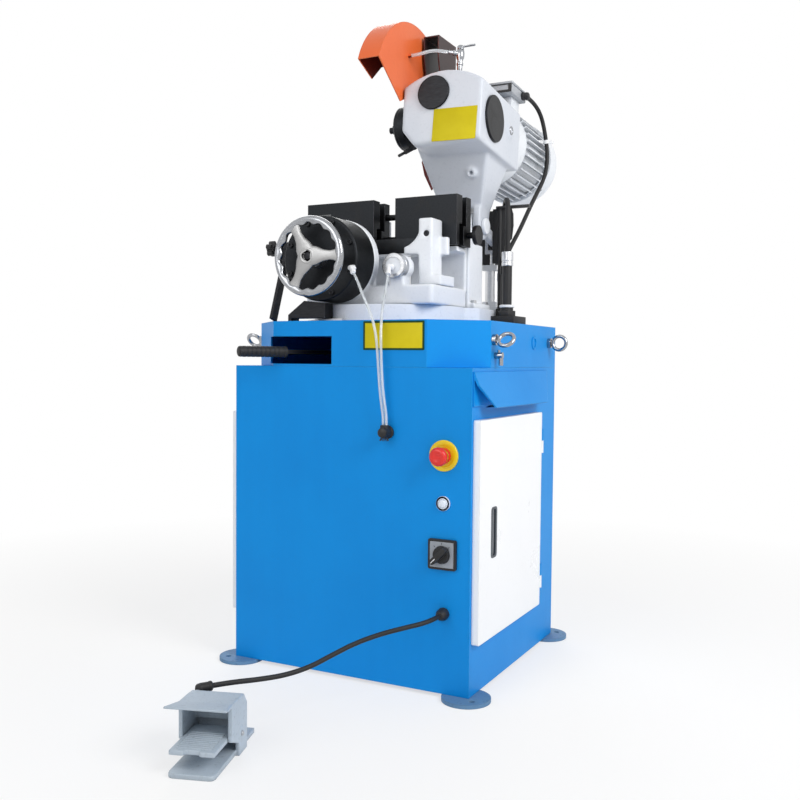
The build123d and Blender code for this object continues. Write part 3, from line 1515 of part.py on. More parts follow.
def make_slide():
    foot_z = bed_top + slip
    slide = block(slide_left, arm_right, slide_front, front_jaw_y, beam_bottom, jaw_bottom + slide_lap)
    slide += block(slide_left, slide_left + slide_post, slide_front, front_jaw_y, vise_z, arm_top)
    slide += block(vise_x - nut_half, vise_x + nut_half, slide_front, front_jaw_y, foot_z, jaw_bottom)
    slide += block(vise_x - nut_half, vise_x + nut_half, slide_front, nut_rear, foot_z, vise_z - nut_block_below)
    slide += rod_y(nut_radius, slide_front, nut_rear, vise_x, vise_z)
    slide += block(arm_left, arm_left + arm_width, arm_front, front_jaw_y, foot_z, arm_top)
    slide += block(arm_left, arm_right + arm_foot_out, arm_front, nut_rear, foot_z, foot_z + arm_foot)
    slide += gusset()
    return slide - rod_y(screw_radius + running, slide_front - past, nut_rear + past, vise_x, vise_z)


def gusset():
    # Hollow-curved web beside the arm, above the small cylinder
    inner = arm_left + past
    low = Polyline((gusset_left, gusset_low), (gusset_left, beam_bottom), (inner, beam_bottom),
                   (inner, gusset_high))
    curve = ThreePointArc((inner, gusset_high), gusset_mid, (gusset_left, gusset_low))
    return extrude(front_plane(front_jaw_y) * make_face(low + curve), amount=front_jaw_y - arm_front)


def make_front_jaws():
    jaws = []
    back = front_jaw_y + front_jaw_back
    for x0, x1 in jaw_spans():
        jaw = block(x0, x1, front_jaw_y, back, jaw_bottom, jaw_top)
        jaw += block(x0, x1, back, pad_face, pad_bottom, jaw_top)
        if x0 == left_jaw_left:
            jaw += block(tongue_left, x0, front_jaw_y, pad_face, jaw_top - tongue_height, jaw_top)
        jaws.append(jaw)
    return group(*jaws)


def make_rear_jaws():
    jaws = []
    for x0, x1 in jaw_spans():
        jaw = block(x0, x1, rear_jaw_y, jaw_back, jaw_bottom, jaw_top)
        jaw += block(x0, x1, rear_jaw_y - toe_deep, rear_jaw_y, jaw_bottom, toe_top)
        for z in (guide_rod_upper, guide_rod_lower):
            jaw -= rod_x(guide_rod_radius, x0 - past, x1 + past, guide_rod_y, z)
        jaws.append(jaw)
    return group(*jaws)


def make_guide_rods():
    # Two rods through the rear jaws, the lower with an end disc, and the rod of the stock stop
    upper = rod_x(guide_rod_radius, left_jaw_left, right_jaw_right, guide_rod_y, guide_rod_upper)
    end = right_jaw_right + guide_rod_out
    lower = rod_x(guide_rod_radius, left_jaw_left, end, guide_rod_y, guide_rod_lower)
    lower += rod_x(end_disc_radius, end, end + end_disc, guide_rod_y, guide_rod_lower)
    stop_rod = rod_x(stop_rod_radius, stop_rod_end, stop_lug_right - stop_lug_wall, stop_y, stop_z)
    return group(upper, lower, stop_rod)


# Stock stop

def make_stop_arm():
    half = stop_bar_thick / 2
    eye_half = half + stop_eye_proud
    arm = rod_x(stop_eye_radius, stop_bar_x - eye_half, stop_bar_x + eye_half, 0, 0)
    arm += block(stop_bar_x - half, stop_bar_x + half, -stop_bar_width / 2, stop_bar_width / 2, -stop_bar_length, 0)
    arm -= rod_x(stop_rod_radius + running, stop_bar_x - eye_half - past, stop_bar_x + eye_half + past, 0, 0)
    return Pos(0, stop_y, stop_z) * Rot(-stop_lean, 0, 0) * arm


def make_stop_knob():
    face = stop_rod_end - slip
    front_inset, rear_inset = knob_lobe_inset
    knob = rod_x(knob_radius, face - knob_length, face, 0, 0)
    for index in range(knob_lobes):
        lobe = rod_x(knob_lobe, face - knob_length + front_inset, face - rear_inset, 0, knob_radius)
        knob += Rot(index * 360 / knob_lobes, 0, 0) * lobe
    return Pos(0, stop_y, stop_z) * knob


# Foot pedal, in its own frame before it is placed

def make_pedal_hood():
    # Base plate, and two cheeks joined by the back, the top with its flared visor and an inner wall
    plate = block(-pedal_half, pedal_half, pedal_front, pedal_rear, 0, pedal_base)
    plate = fillet(plate.edges().filter_by(Axis.Z).group_by(Axis.Y)[0], pedal_corner)
    outer = pedal_half + hood_wall
    under = hood_top - hood_plate
    brow = hood_top + hood_rise
    sunk = hood_top_rear - hood_back_sink
    back_inside = hood_rear - hood_wall
    cheek = [(hood_rear, 0), (hood_rear, hood_shoulder), (hood_top_rear, hood_top), (cheek_front, brow),
             (cheek_front, cheek_lip), cheek_notch, (cheek_notch[0], 0)]
    hood = side_prism(cheek, -outer, -pedal_half) + side_prism(cheek, pedal_half, outer)
    back = [(hood_rear, pedal_base), (hood_rear, hood_shoulder), (hood_top_rear, hood_top), (sunk, under),
            (back_inside, hood_shoulder), (back_inside, pedal_base)]
    top = [(hood_top_rear, hood_top), (cheek_front, brow), (cheek_front, under), (sunk, under)]
    inner_low = treadle_pin_z + hood_inner_gap
    inner_high = hood_top - hood_inner_sink
    inner = [(hood_inner_y, inner_low), (hood_inner_y + hood_plate, inner_low),
             (hood_inner_y + hood_plate, inner_high), (hood_inner_y, inner_high)]
    for profile in (back, top, inner):
        hood += side_prism(profile, -pedal_half, pedal_half)
    hood += visor(outer, under, brow)
    hood -= rod_x(treadle_pin_radius, -outer - past, outer + past, treadle_pin_y, treadle_pin_z)
    elbow = rod_z(elbow_radius, elbow_z - elbow_below, elbow_z + elbow_above, elbow_x, elbow_y)
    elbow += stub((elbow_x, elbow_y, elbow_z), elbow_end, elbow_spout_radius)
    below_back = [(back_inside, 0), (back_inside, hood_shoulder), (sunk, under), (cheek_front, under),
                  (cheek_front, 0)]
    elbow -= at_pedal(side_prism(below_back, -pedal_half, pedal_half))
    return group(at_pedal(plate), at_pedal(hood) + elbow)


def visor(half, under, brow):
    # Thin plate that rises and widens towards the front
    tip = cheek_front - visor_reach
    high = brow + visor_rise
    wide = half + visor_flare
    sheet = side_prism([(cheek_front, brow), (tip, high), (tip, high - visor_edge), (cheek_front, under)], -wide, wide)
    plan = [(-half, cheek_front), (half, cheek_front), (wide, tip), (-wide, tip)]
    return sheet & plan_prism(plan, under, high)


def make_treadle():
    # Foot plate with a notched front edge, pivoting on the pin between the cheeks
    rear = treadle_pin_y + treadle_tail
    low = treadle_top - treadle_thick
    knuckle = treadle_pin_z - treadle_knuckle
    outline = [(rear, treadle_top), (rear, knuckle), (treadle_pin_y - treadle_knuckle, knuckle),
               (treadle_pin_y - 2 * treadle_knuckle, low), (treadle_front, low), (treadle_front, treadle_top)]
    plate = side_prism(outline, -treadle_half, treadle_half)
    plate -= block(-treadle_notch_half, treadle_notch_half, treadle_front - past, treadle_front + treadle_notch,
                   low - past, treadle_top + past)
    plate -= rod_x(treadle_pin_radius + running, -treadle_half - past, treadle_half + past,
                   treadle_pin_y, treadle_pin_z)
    return at_pedal(plate)


# Cord routes, with the ends on the pieces that hold them

pedal_cable_route = [
    (gland_x, front - gland_out, gland_z), (gland_x, -320, gland_z), (231, -349, 177), (205, -378, 172),
    (168, -412, 163), (132, -452, 150), (103, -494, 133), (76, -536, 116), (47, -578, 108), (14, -620, 107),
    (-18.3, -659.9, 108.5), elbow_end]

left_hose_route = [
    (2, -248, 906), (14.8, -252.8, 888.4), (30, -262, 864), (50, -275, 837), (71, -286, 806), (84, -292, 768),
    (89, -293, 728), (92, -293, 686), (95, -292, 645), (99, -290.5, 612),
    (grommet_x - hose_spread, front - grommet_out, 592),
    (grommet_x - hose_spread, front - grommet_out, grommet_top)]

right_hose_route = [
    (56, -186, 906), (58.4, -196.7, 884.6), (67, -219, 862), (79, -250, 838), (90, -278, 808), (96, -292, 770),
    (98, -294, 728), (100, -294, 686), (103, -293, 645), (107, -290.5, 612),
    (grommet_x + hose_spread, front - grommet_out, 592),
    (grommet_x + hose_spread, front - grommet_out, grommet_top)]

motor_cable_route = [
    drive_point(box_right + cable_gland_out / 2, cable_gland_y + cable_gland_tail, cable_gland_z),
    (195.5, 356, 1408.5), (197.5, 380, 1403.5), (201, 402, 1393), (205, 418, 1375), (208.5, 427, 1352),
    (211.5, 433, 1327), (214, 438, 1300), (215, 440, 1272), (215, 436, 1245), (214, 424, 1220), (213, 404, 1196),
    (211.5, 377, 1171), (210, 347, 1143), (208.5, 316, 1113), (207, 283, 1080), (204.5, 250, 1046),
    (200, 219, 1014), (195, 195.5, 985), (riser_x, riser_y, riser_top + cable_lift)]

arch_hose_route = [
    (conduit_x, conduit_y, ferrule_top), (213.4, 149.2, 1022), (213, 150, 1092.6), (201, 173.4, 1119),
    (184, 206.6, 1119), (172, 230, 1092.6), (171.5, 231, 1024), (171.7, 230.6, 977),
    (arch_end_x, arch_end_y, arch_end_z)]

coolant_hose_route = [
    tipped_point(tap_x - 24.51, tap_y - 20.57, tap_body_z), (73, 43, 1465), (57, 32.5, 1464.5), (41, 24.5, 1460.5),
    (24, guard_port_y, guard_port_z), (guard_port_x + slip, guard_port_y, guard_port_z)]

nodes = {
    "cabinet_shell": make_cabinet(),
    "foot_discs": make_feet(),
    "left_door": make_door(-1),
    "right_door": make_door(1),
    "hinge_pins": make_hinge_pins(),
    "swarf_drawer": make_drawer(),
    "estop_body": make_estop_body(),
    "estop_mushroom": make_estop_mushroom(),
    "push_button": make_push_button(),
    "switch_body": make_switch_body(),
    "switch_knob": make_switch_knob(),
    "panel_glands": make_glands(),
    "electrical_gear": make_electrical_gear(),
    "coolant_tank": make_coolant_tank(),
    "coolant_pump": make_coolant_pump(),
    "coolant_tray": make_tray(),
    "tray_fittings": make_tray_fittings(),
    "angle_scale": make_angle_scale(),
    "chip_deflector": make_deflector(),
    "centre_post": make_centre_post(),
    "lock_lever": make_lock_lever(),
    "turntable": make_turntable(),
    "column": make_column(),
    "feed_cylinder": make_feed_cylinder(),
    "feed_rod": make_feed_rod(),
    "cable_conduits": make_conduits(),
    "arch_hose": tube("arch hose", arch_hose_route, arch_diameter),
    "head_casting": tipped(make_head_casting()),
    "head_covers": make_head_covers(),
    "pivot_pin": tipped(make_pivot_pin()),
    "spindle_bearings": make_bearings(),
    "spindle_shaft": tipped(make_spindle()),
    "blade_flanges": make_flanges(),
    "worm_wheel": tipped(make_worm_wheel()),
    "worm_shaft": make_worm_shaft(),
    "motor_rotor": make_motor_rotor(),
    "motor_housing": tipped(leaned(make_motor())),
    "fan_cover": tipped(leaned(make_fan_cover())),
    "terminal_box": tipped(leaned(make_terminal_box())),
    "motor_cable": tube("motor cable", motor_cable_route, cable_diameter),
    "coolant_tap": tipped(make_tap()),
    "tap_lever": tipped(make_tap_lever()),
    "coolant_hose": tube("coolant hose", coolant_hose_route, coolant_hose_diameter),
    "guard_bracket": make_guard_bracket(),
    "blade_guard": make_guard(),
    "vise_bed": make_bed(),
    "vise_cylinder": make_cylinder(),
    "vise_ram": make_ram(),
    "handwheel": make_handwheel(),
    "vise_slide": make_slide(),
    "front_jaws": make_front_jaws(),
    "rear_jaws": make_rear_jaws(),
    "guide_rods": make_guide_rods(),
    "air_hose_left": tube("left air hose", left_hose_route, hose_diameter),
    "air_hose_right": tube("right air hose", right_hose_route, hose_diameter),
    "stop_arm": make_stop_arm(),
    "stop_knob": make_stop_knob(),
    "pedal_hood": make_pedal_hood(),
    "treadle": make_treadle(),
    "pedal_cable": tube("pedal cable", pedal_cable_route, pedal_cable_diameter),
}

os.makedirs("parts", exist_ok=True)
for name, solid in nodes.items():
    export_step(solid, f"parts/{name}.step")
print(len(nodes), "nodes")
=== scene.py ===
import json
import math
import bmesh
import bpy
from mathutils import Matrix, Vector


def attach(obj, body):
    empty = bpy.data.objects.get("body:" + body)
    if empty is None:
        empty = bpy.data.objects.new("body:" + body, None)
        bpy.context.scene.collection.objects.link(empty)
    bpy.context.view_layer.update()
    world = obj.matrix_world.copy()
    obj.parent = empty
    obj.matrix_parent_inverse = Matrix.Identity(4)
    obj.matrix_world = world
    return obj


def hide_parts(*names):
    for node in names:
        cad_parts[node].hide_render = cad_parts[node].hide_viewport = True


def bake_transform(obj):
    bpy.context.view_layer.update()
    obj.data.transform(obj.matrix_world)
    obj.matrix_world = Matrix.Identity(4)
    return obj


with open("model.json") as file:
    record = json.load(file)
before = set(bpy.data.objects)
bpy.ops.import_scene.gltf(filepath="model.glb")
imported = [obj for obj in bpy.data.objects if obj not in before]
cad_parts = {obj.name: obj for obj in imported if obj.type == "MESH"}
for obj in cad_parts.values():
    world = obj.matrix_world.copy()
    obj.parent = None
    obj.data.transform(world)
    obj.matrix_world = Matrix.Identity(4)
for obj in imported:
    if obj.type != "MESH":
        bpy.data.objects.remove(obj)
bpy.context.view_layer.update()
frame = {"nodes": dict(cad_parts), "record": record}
nodes = frame["nodes"]
print("frame:", len(nodes), "CAD nodes")

mm = 0.001
deg = math.radians


# shader and geometry wiring

class Wire:
    def __init__(self, tree, socket=None):
        self.tree = tree
        self.socket = socket

    def node(self, kind, settings=None, inputs=None, out=0):
        made = self.tree.nodes.new(kind)
        for key, value in (settings or {}).items():
            setattr(made, key, value)
        for key, value in (inputs or {}).items():
            self.feed(made.inputs[key], value)
        return Wire(self.tree, made.outputs[out] if len(made.outputs) else None)

    def feed(self, target, value):
        if isinstance(value, Wire):
            self.tree.links.new(value.socket, target)
        else:
            target.default_value = value

    def out(self, name):
        return Wire(self.tree, self.socket.node.outputs[name])

    def maths(self, operation, *values):
        return self.node("ShaderNodeMath", {"operation": operation}, dict(enumerate(values)))

    def clamp(self):
        return self.node("ShaderNodeMath", {"operation": "ADD", "use_clamp": True}, {0: self, 1: 0.0})

    def cosine(self):
        return self.maths("COSINE", self)

    def sine(self):
        return self.maths("SINE", self)

    def __add__(self, other):
        return self.maths("ADD", self, other)

    def __radd__(self, other):
        return self.maths("ADD", other, self)

    def __sub__(self, other):
        return self.maths("SUBTRACT", self, other)

    def __rsub__(self, other):
        return self.maths("SUBTRACT", other, self)

    def __mul__(self, other):
        return self.maths("MULTIPLY", self, other)

    def __rmul__(self, other):
        return self.maths("MULTIPLY", other, self)

    def __truediv__(self, other):
        return self.maths("DIVIDE", self, other)

    def __rtruediv__(self, other):
        return self.maths("DIVIDE", other, self)


def mixColour(wire, factor, first, second):
    return wire.node("ShaderNodeMix", {"data_type": "RGBA"}, {0: factor, 6: first, 7: second}, out=2)


def startMaterial(name, settings):
    made = bpy.data.materials.new(name)
    made.use_nodes = True
    shader = made.node_tree.nodes["Principled BSDF"]
    for key, value in settings.items():
        shader.inputs[key].default_value = value
    return made, Wire(made.node_tree), shader


def noise(wire, scale, detail=3.0, stretch=None, distortion=0.0):
    place = wire.node("ShaderNodeTexCoord", out="Object")
    if stretch:
        place = wire.node("ShaderNodeMapping", None, {"Vector": place, "Scale": stretch})
    return wire.node("ShaderNodeTexNoise", None, {"Vector": place, "Scale": scale, "Detail": detail,
                                                  "Distortion": distortion})


def vectorMaths(wire, operation, *values):
    return wire.node("ShaderNodeVectorMath", {"operation": operation}, dict(enumerate(values)),
                     out="Vector" if operation == "SUBTRACT" else "Value")


def roundedNormal(wire, radius):
    return wire.node("ShaderNodeBevel", {"samples": 4}, {"Radius": radius})


def edgeMask(wire, rounded, gain):
    flat = wire.node("ShaderNodeNewGeometry", out="Normal")
    return ((1.0 - vectorMaths(wire, "DOT_PRODUCT", rounded, flat)) * gain).clamp()


# mask of faces turned towards a middle point, used for the painted shade inside the guard
def shadedInsideMask(wire, middle):
    place = wire.node("ShaderNodeTexCoord", out="Object")
    flat = wire.node("ShaderNodeNewGeometry", out="Normal")
    outward = vectorMaths(wire, "SUBTRACT", place, middle)
    return (0.0 - vectorMaths(wire, "DOT_PRODUCT", outward, flat) * 400.0).clamp()


def skinBump(wire, shader, strength, distance, height, normal=None):
    inputs = {"Strength": strength, "Distance": distance, "Height": height}
    if normal:
        inputs["Normal"] = normal
    wire.feed(shader.inputs["Normal"], wire.node("ShaderNodeBump", None, inputs))


def rgb(*values):
    return tuple(values) + (1.0,)


# painted sheet and castings: cloudy tone, orange peel or cast grain, chipped edges partly painted lighter as
# a painted highlight, dust streaks, painted shade in corners and inside the guard

def paintFinish(look):
    made, wire, shader = startMaterial(look["name"], {"Coat Weight": look["coat"], "Coat Roughness": 0.12,
                                                      "Specular IOR Level": look["shine"], "IOR": 1.46})
    rounded = roundedNormal(wire, look["round"])
    edge = edgeMask(wire, rounded, 2.2)
    cloud = noise(wire, 4.0, 5.0)
    streak = noise(wire, 1.0, 4.0, stretch=(38.0, 38.0, 1.6))  # runs down the sheet
    grain = noise(wire, look["grain"], 3.0)
    speck = noise(wire, 140.0, 6.0, distortion=0.6)
    tone = ((cloud - 0.42) * 1.9 + (streak - 0.5) * 0.5).clamp()
    colour = mixColour(wire, tone, rgb(*look["colour"]), rgb(*look["shade"]))
    dust = ((speck - 0.56) * 5.0).clamp() * look["dust"]
    colour = mixColour(wire, dust, colour, rgb(*look["dirt"]))
    # edges mixed to a lighter tint of the paint: partly chipped wear, partly painted highlight
    wornAndLitEdge = (edge * (speck * 1.7 - 0.35)).clamp() * look["wear"]
    colour = mixColour(wire, wornAndLitEdge, colour, rgb(*look["edge"]))
    # painted shade: faces turned towards the guard's middle take a dark shade colour
    if "inside" in look:
        colour = mixColour(wire, shadedInsideMask(wire, look["middle"]), colour, rgb(*look["inside"]))
    if "grime" in look:  # painted shade: darker in corners and crevices, found by an occlusion test
        openness = wire.node("ShaderNodeAmbientOcclusion", {"samples": 4}, {"Distance": look["reach"]},
                             out="AO")
        colour = mixColour(wire, ((0.62 - openness) * 2.4).clamp() * look["grime"], colour,
                           rgb(*look["dirt"]))
    wire.feed(shader.inputs["Base Color"], colour)
    wire.feed(shader.inputs["Roughness"], look["rough"] + (cloud - 0.5) * 0.16 + dust * 0.5)
    skinBump(wire, shader, look["bump"], look["deep"], grain, rounded)
    return made


# in these looks the corner-shade amount and its reach set the painted shade in corners; the dirt colour
# serves both the dust specks and that painted shade
cabinetPaint = {"name": "cabinetBluePaint", "colour": (0.002, 0.262, 0.715), "shade": (0.002, 0.226, 0.650),
                "edge": (0.12, 0.52, 0.90), "dirt": (0.02, 0.16, 0.42), "coat": 0.0, "shine": 0.18,
                "round": 0.0028, "grain": 420.0, "bump": 0.10, "deep": 0.0006, "rough": 0.42, "dust": 0.10,
                "wear": 0.60}
castPaint = {"name": "castWhitePaint", "colour": (0.85, 0.875, 0.915), "shade": (0.77, 0.805, 0.865),
             "edge": (0.90, 0.92, 0.95), "dirt": (0.30, 0.33, 0.38), "coat": 0.10, "shine": 0.4,
             "grime": 0.75, "reach": 0.05, "round": 0.0030, "grain": 230.0, "bump": 0.16, "deep": 0.0009,
             "rough": 0.36, "dust": 0.16, "wear": 0.45}
# painted shade: the white head casting takes a darker grey copy of the white cast paint
shadedHeadPaint = dict(castPaint, name="headGreyPaint", colour=(0.64, 0.672, 0.732), shade=(0.56, 0.598, 0.665),
                 edge=(0.74, 0.76, 0.80))
motorPaint = dict(castPaint, name="motorWhitePaint", colour=(0.83, 0.86, 0.90), shade=(0.75, 0.79, 0.84),
                  dirt=(0.16, 0.18, 0.21), grain=520.0, round=0.0012, grime=0.9, reach=0.03)
doorPaint = dict(castPaint, name="doorWhitePaint", colour=(0.88, 0.89, 0.91), shade=(0.84, 0.86, 0.89),
                 grain=480.0, bump=0.07, rough=0.30, dust=0.06, round=0.0025, grime=0.2)
guardPaint = {"name": "guardOrangePaint", "colour": (0.80, 0.155, 0.040), "shade": (0.74, 0.120, 0.026),
              "edge": (0.90, 0.42, 0.22), "dirt": (0.40, 0.06, 0.02), "coat": 0.10, "shine": 0.3,
              "round": 0.0022, "grain": 380.0, "bump": 0.10, "deep": 0.0006, "rough": 0.36, "dust": 0.10,
              "wear": 0.55}
# painted shade: the guard shell's inner faces are painted dark red
shellPaint = dict(guardPaint, name="guardShellPaint", inside=(0.16, 0.014, 0.006),
                  middle=(-0.029, 0.055, 1.338))
# painted shade: the red bracket is painted near black with red only at its edges, standing for shade inside
# the open rear of the guard
bracketShadowPaint = dict(guardPaint, name="bracketRedPaint", colour=(0.030, 0.010, 0.010),
                    shade=(0.018, 0.008, 0.008), edge=(0.46, 0.045, 0.025), dirt=(0.01, 0.005, 0.005),
                    wear=1.0, round=0.0030)
stripPaint = dict(guardPaint, name="stripRedPaint", colour=(0.20, 0.022, 0.014), shade=(0.12, 0.014, 0.010))
pedalPaint = {"name": "pedalGreyPaint", "colour": (0.47, 0.54, 0.61), "shade": (0.37, 0.44, 0.51),
              "edge": (0.62, 0.67, 0.72), "dirt": (0.16, 0.18, 0.20), "coat": 0.05, "shine": 0.35,
              "grime": 0.6, "reach": 0.03, "round": 0.0016, "grain": 640.0, "bump": 0.35, "deep": 0.0008,
              "rough": 0.46, "dust": 0.30, "wear": 0.60}
footPaint = dict(cabinetPaint, name="footBluePaint", colour=(0.13, 0.26, 0.43), shade=(0.09, 0.19, 0.34),
                 edge=(0.30, 0.34, 0.38), dirt=(0.10, 0.12, 0.15), dust=0.45, rough=0.48)
boxPaint = dict(castPaint, name="boxGreyPaint", colour=(0.42, 0.44, 0.47), shade=(0.35, 0.37, 0.40),
                round=0.0015, edge=(0.62, 0.64, 0.67))


# machined and plated metal: drawn streaks in tone and roughness, edges painted brighter as a painted
# highlight, finger smears

def metalFinish(look):
    made, wire, shader = startMaterial(look["name"], {"Metallic": 1.0, "Coat Weight": 0.0})
    rounded = roundedNormal(wire, look["round"])
    edge = edgeMask(wire, rounded, 1.8)
    streak = noise(wire, look["grain"], 4.0, stretch=look["stretch"])
    smear = noise(wire, 22.0, 5.0, distortion=0.8)
    colour = mixColour(wire, ((streak - 0.35) * 1.8).clamp(), rgb(*look["colour"]), rgb(*look["shade"]))
    colour = mixColour(wire, ((smear - 0.55) * 3.0).clamp() * look["stain"], colour, rgb(*look["dirt"]))
    # painted highlight: every edge mixed towards a brighter metal colour
    colour = mixColour(wire, edge * 0.6, colour, rgb(*look["edge"]))
    wire.feed(shader.inputs["Base Color"], colour)
    rough = look["rough"] + (streak - 0.5) * look["spread"] + ((smear - 0.5) * 0.25).clamp()
    wire.feed(shader.inputs["Roughness"], rough)
    skinBump(wire, shader, look["bump"], 0.0003, streak, rounded)
    return made


groundSteel = {"name": "groundSteel", "colour": (0.55, 0.56, 0.58), "shade": (0.44, 0.45, 0.47),
               "edge": (0.74, 0.75, 0.77), "dirt": (0.22, 0.20, 0.18), "round": 0.0010, "grain": 60.0,
               "stretch": (1.0, 9.0, 9.0), "rough": 0.28, "spread": 0.22, "stain": 0.35, "bump": 0.12}
blackSteel = dict(groundSteel, name="blackedSteel", colour=(0.030, 0.031, 0.034), shade=(0.018, 0.018, 0.020),
                  edge=(0.12, 0.12, 0.13), dirt=(0.05, 0.045, 0.04), rough=0.40, round=0.0018)
blackIron = dict(blackSteel, name="blackedIron", colour=(0.026, 0.028, 0.031), shade=(0.016, 0.017, 0.019),
                 stretch=(3.0, 3.0, 3.0), grain=120.0, rough=0.46, bump=0.30, round=0.0022)
silverAlloy = dict(groundSteel, name="silverAlloy", colour=(0.68, 0.69, 0.71), shade=(0.58, 0.59, 0.61),
                   edge=(0.85, 0.86, 0.88), rough=0.32, stain=0.20)
wheelAlloy = dict(silverAlloy, name="wheelAlloy", colour=(0.40, 0.40, 0.40), shade=(0.29, 0.29, 0.29),
                  edge=(0.66, 0.66, 0.66), stretch=(4.0, 4.0, 4.0), grain=140.0, rough=0.40, bump=0.25)
brightPlate = dict(groundSteel, name="brightPlate", colour=(0.40, 0.41, 0.43), shade=(0.24, 0.25, 0.27),
                   edge=(0.80, 0.81, 0.83), dirt=(0.06, 0.06, 0.06), rough=0.16, spread=0.10, stain=0.40,
                   bump=0.06)
wheelBronze = dict(groundSteel, name="wheelBronze", colour=(0.56, 0.34, 0.12), shade=(0.44, 0.26, 0.09),
                   edge=(0.76, 0.52, 0.24), dirt=(0.12, 0.08, 0.03))


# moulded plastic and rubber: fine grain, scuffed sheen, paler edges

def mouldFinish(look):
    made, wire, shader = startMaterial(look["name"], {"Coat Weight": look["coat"], "IOR": 1.48,
                                                      "Specular IOR Level": look["shine"]})
    rounded = roundedNormal(wire, look["round"])
    edge = edgeMask(wire, rounded, 1.6)
    cloud = noise(wire, 30.0, 4.0)
    grain = noise(wire, look["grain"], 3.0)
    colour = mixColour(wire, ((cloud - 0.4) * 2.0).clamp(), rgb(*look["colour"]), rgb(*look["shade"]))
    colour = mixColour(wire, (edge * (cloud + 0.2)).clamp() * 0.5, colour, rgb(*look["edge"]))
    wire.feed(shader.inputs["Base Color"], colour)
    wire.feed(shader.inputs["Roughness"], look["rough"] + (cloud - 0.5) * 0.22)
    skinBump(wire, shader, look["bump"], 0.0004, grain, rounded)
    return made


blackPlastic = {"name": "blackMoulded", "colour": (0.016, 0.016, 0.017), "shade": (0.024, 0.024, 0.026),
                "edge": (0.09, 0.09, 0.10), "coat": 0.0, "shine": 0.35, "round": 0.0012, "grain": 900.0,
                "bump": 0.18, "rough": 0.42}
blackRubber = dict(blackPlastic, name="blackRubber", colour=(0.014, 0.014, 0.015),
                   shade=(0.022, 0.021, 0.021), rough=0.55, bump=0.26)
estopRed = dict(blackPlastic, name="stopRedMoulded", colour=(0.72, 0.020, 0.014), shade=(0.62, 0.014, 0.010),
                edge=(0.86, 0.20, 0.14), coat=0.35, rough=0.28, bump=0.05)
estopYellow = dict(estopRed, name="stopYellowMoulded", colour=(0.86, 0.64, 0.010), shade=(0.80, 0.56, 0.008),
                   edge=(0.95, 0.82, 0.25))
buttonWhite = dict(estopRed, name="buttonWhiteMoulded", colour=(0.74, 0.80, 0.90), shade=(0.64, 0.71, 0.84),
                   edge=(0.92, 0.94, 0.98))
fittingWhite = dict(estopRed, name="fittingWhiteMoulded", colour=(0.86, 0.87, 0.89), shade=(0.76, 0.78, 0.81),
                    edge=(0.95, 0.95, 0.97))
faceGrey = dict(blackPlastic, name="faceGreyMoulded", colour=(0.33, 0.36, 0.40), shade=(0.28, 0.30, 0.34),
                edge=(0.50, 0.52, 0.55), bump=0.10)
pullGrey = dict(blackPlastic, name="pullGreyMoulded", colour=(0.062, 0.074, 0.092),
                shade=(0.050, 0.060, 0.076))
gearGrey = dict(faceGrey, name="gearGreyMoulded", colour=(0.36, 0.37, 0.38), shade=(0.30, 0.31, 0.32))
plateYellow = dict(estopRed, name="plateYellowEnamel", colour=(0.64, 0.53, 0.010), shade=(0.57, 0.46, 0.008),
                   edge=(0.80, 0.70, 0.12), round=0.0006, grain=500.0, coat=0.0, shine=0.15, rough=0.45)
plateGreen = dict(plateYellow, name="plateGreenEnamel", colour=(0.010, 0.055, 0.020),
                  shade=(0.008, 0.045, 0.016), edge=(0.05, 0.14, 0.07))


def hoseFinish(look):
    made, wire, shader = startMaterial(look["name"], {"Transmission Weight": 0.55, "IOR": 1.36,
                                                      "Coat Weight": 0.3})
    cloud = noise(wire, 26.0, 4.0)
    wire.feed(shader.inputs["Base Color"], mixColour(wire, cloud, rgb(*look["colour"]), rgb(*look["shade"])))
    wire.feed(shader.inputs["Roughness"], look["rough"] + (cloud - 0.5) * 0.2)
    skinBump(wire, shader, 0.1, 0.0003, noise(wire, 420.0))
    return made


clearHose = {"name": "clearHose", "colour": (0.90, 0.93, 0.95), "shade": (0.80, 0.85, 0.89), "rough": 0.16}

finish = {}
for recipe, looks in (
        (paintFinish, (cabinetPaint, castPaint, shadedHeadPaint, motorPaint, doorPaint, guardPaint, shellPaint,
                       bracketShadowPaint, stripPaint, pedalPaint, footPaint, boxPaint)),
        (metalFinish, (groundSteel, blackSteel, blackIron, silverAlloy, wheelAlloy, brightPlate,
                       wheelBronze)),
        (mouldFinish, (blackPlastic, blackRubber, estopRed, estopYellow, buttonWhite, fittingWhite, faceGrey,
                       pullGrey, gearGrey, plateYellow, plateGreen)),
        (hoseFinish, (clearHose,))):
    for look in looks:
        finish[look["name"]] = recipe(look)

slotFinish = {"cabinet_blue": "cabinetBluePaint", "machine_white": "castWhitePaint",
              "door_white": "doorWhitePaint", "guard_orange": "guardOrangePaint",
              "bracket_red": "bracketRedPaint", "black_iron": "blackedIron", "black_steel": "blackedSteel",
              "black_plastic": "blackMoulded", "black_rubber": "blackRubber", "steel": "groundSteel",
              "aluminium": "silverAlloy", "chrome": "brightPlate", "bronze": "wheelBronze",
              "clear_hose": "clearHose", "estop_yellow": "stopYellowMoulded", "estop_red": "stopRedMoulded",
              "button_white": "buttonWhiteMoulded", "gear_grey": "gearGreyMoulded",
              "pedal_grey": "pedalGreyPaint", "foot_steel": "footBluePaint"}
nodeFinish = {"motor_housing": "motorWhitePaint", "fan_cover": "motorWhitePaint",
              "guide_rods": "blackedSteel", "tray_fittings": "brightPlate", "pivot_pin": "castWhitePaint",
              "blade_guard": "guardShellPaint"}
finishSlot = {name: slotName for slotName, name in slotFinish.items()}
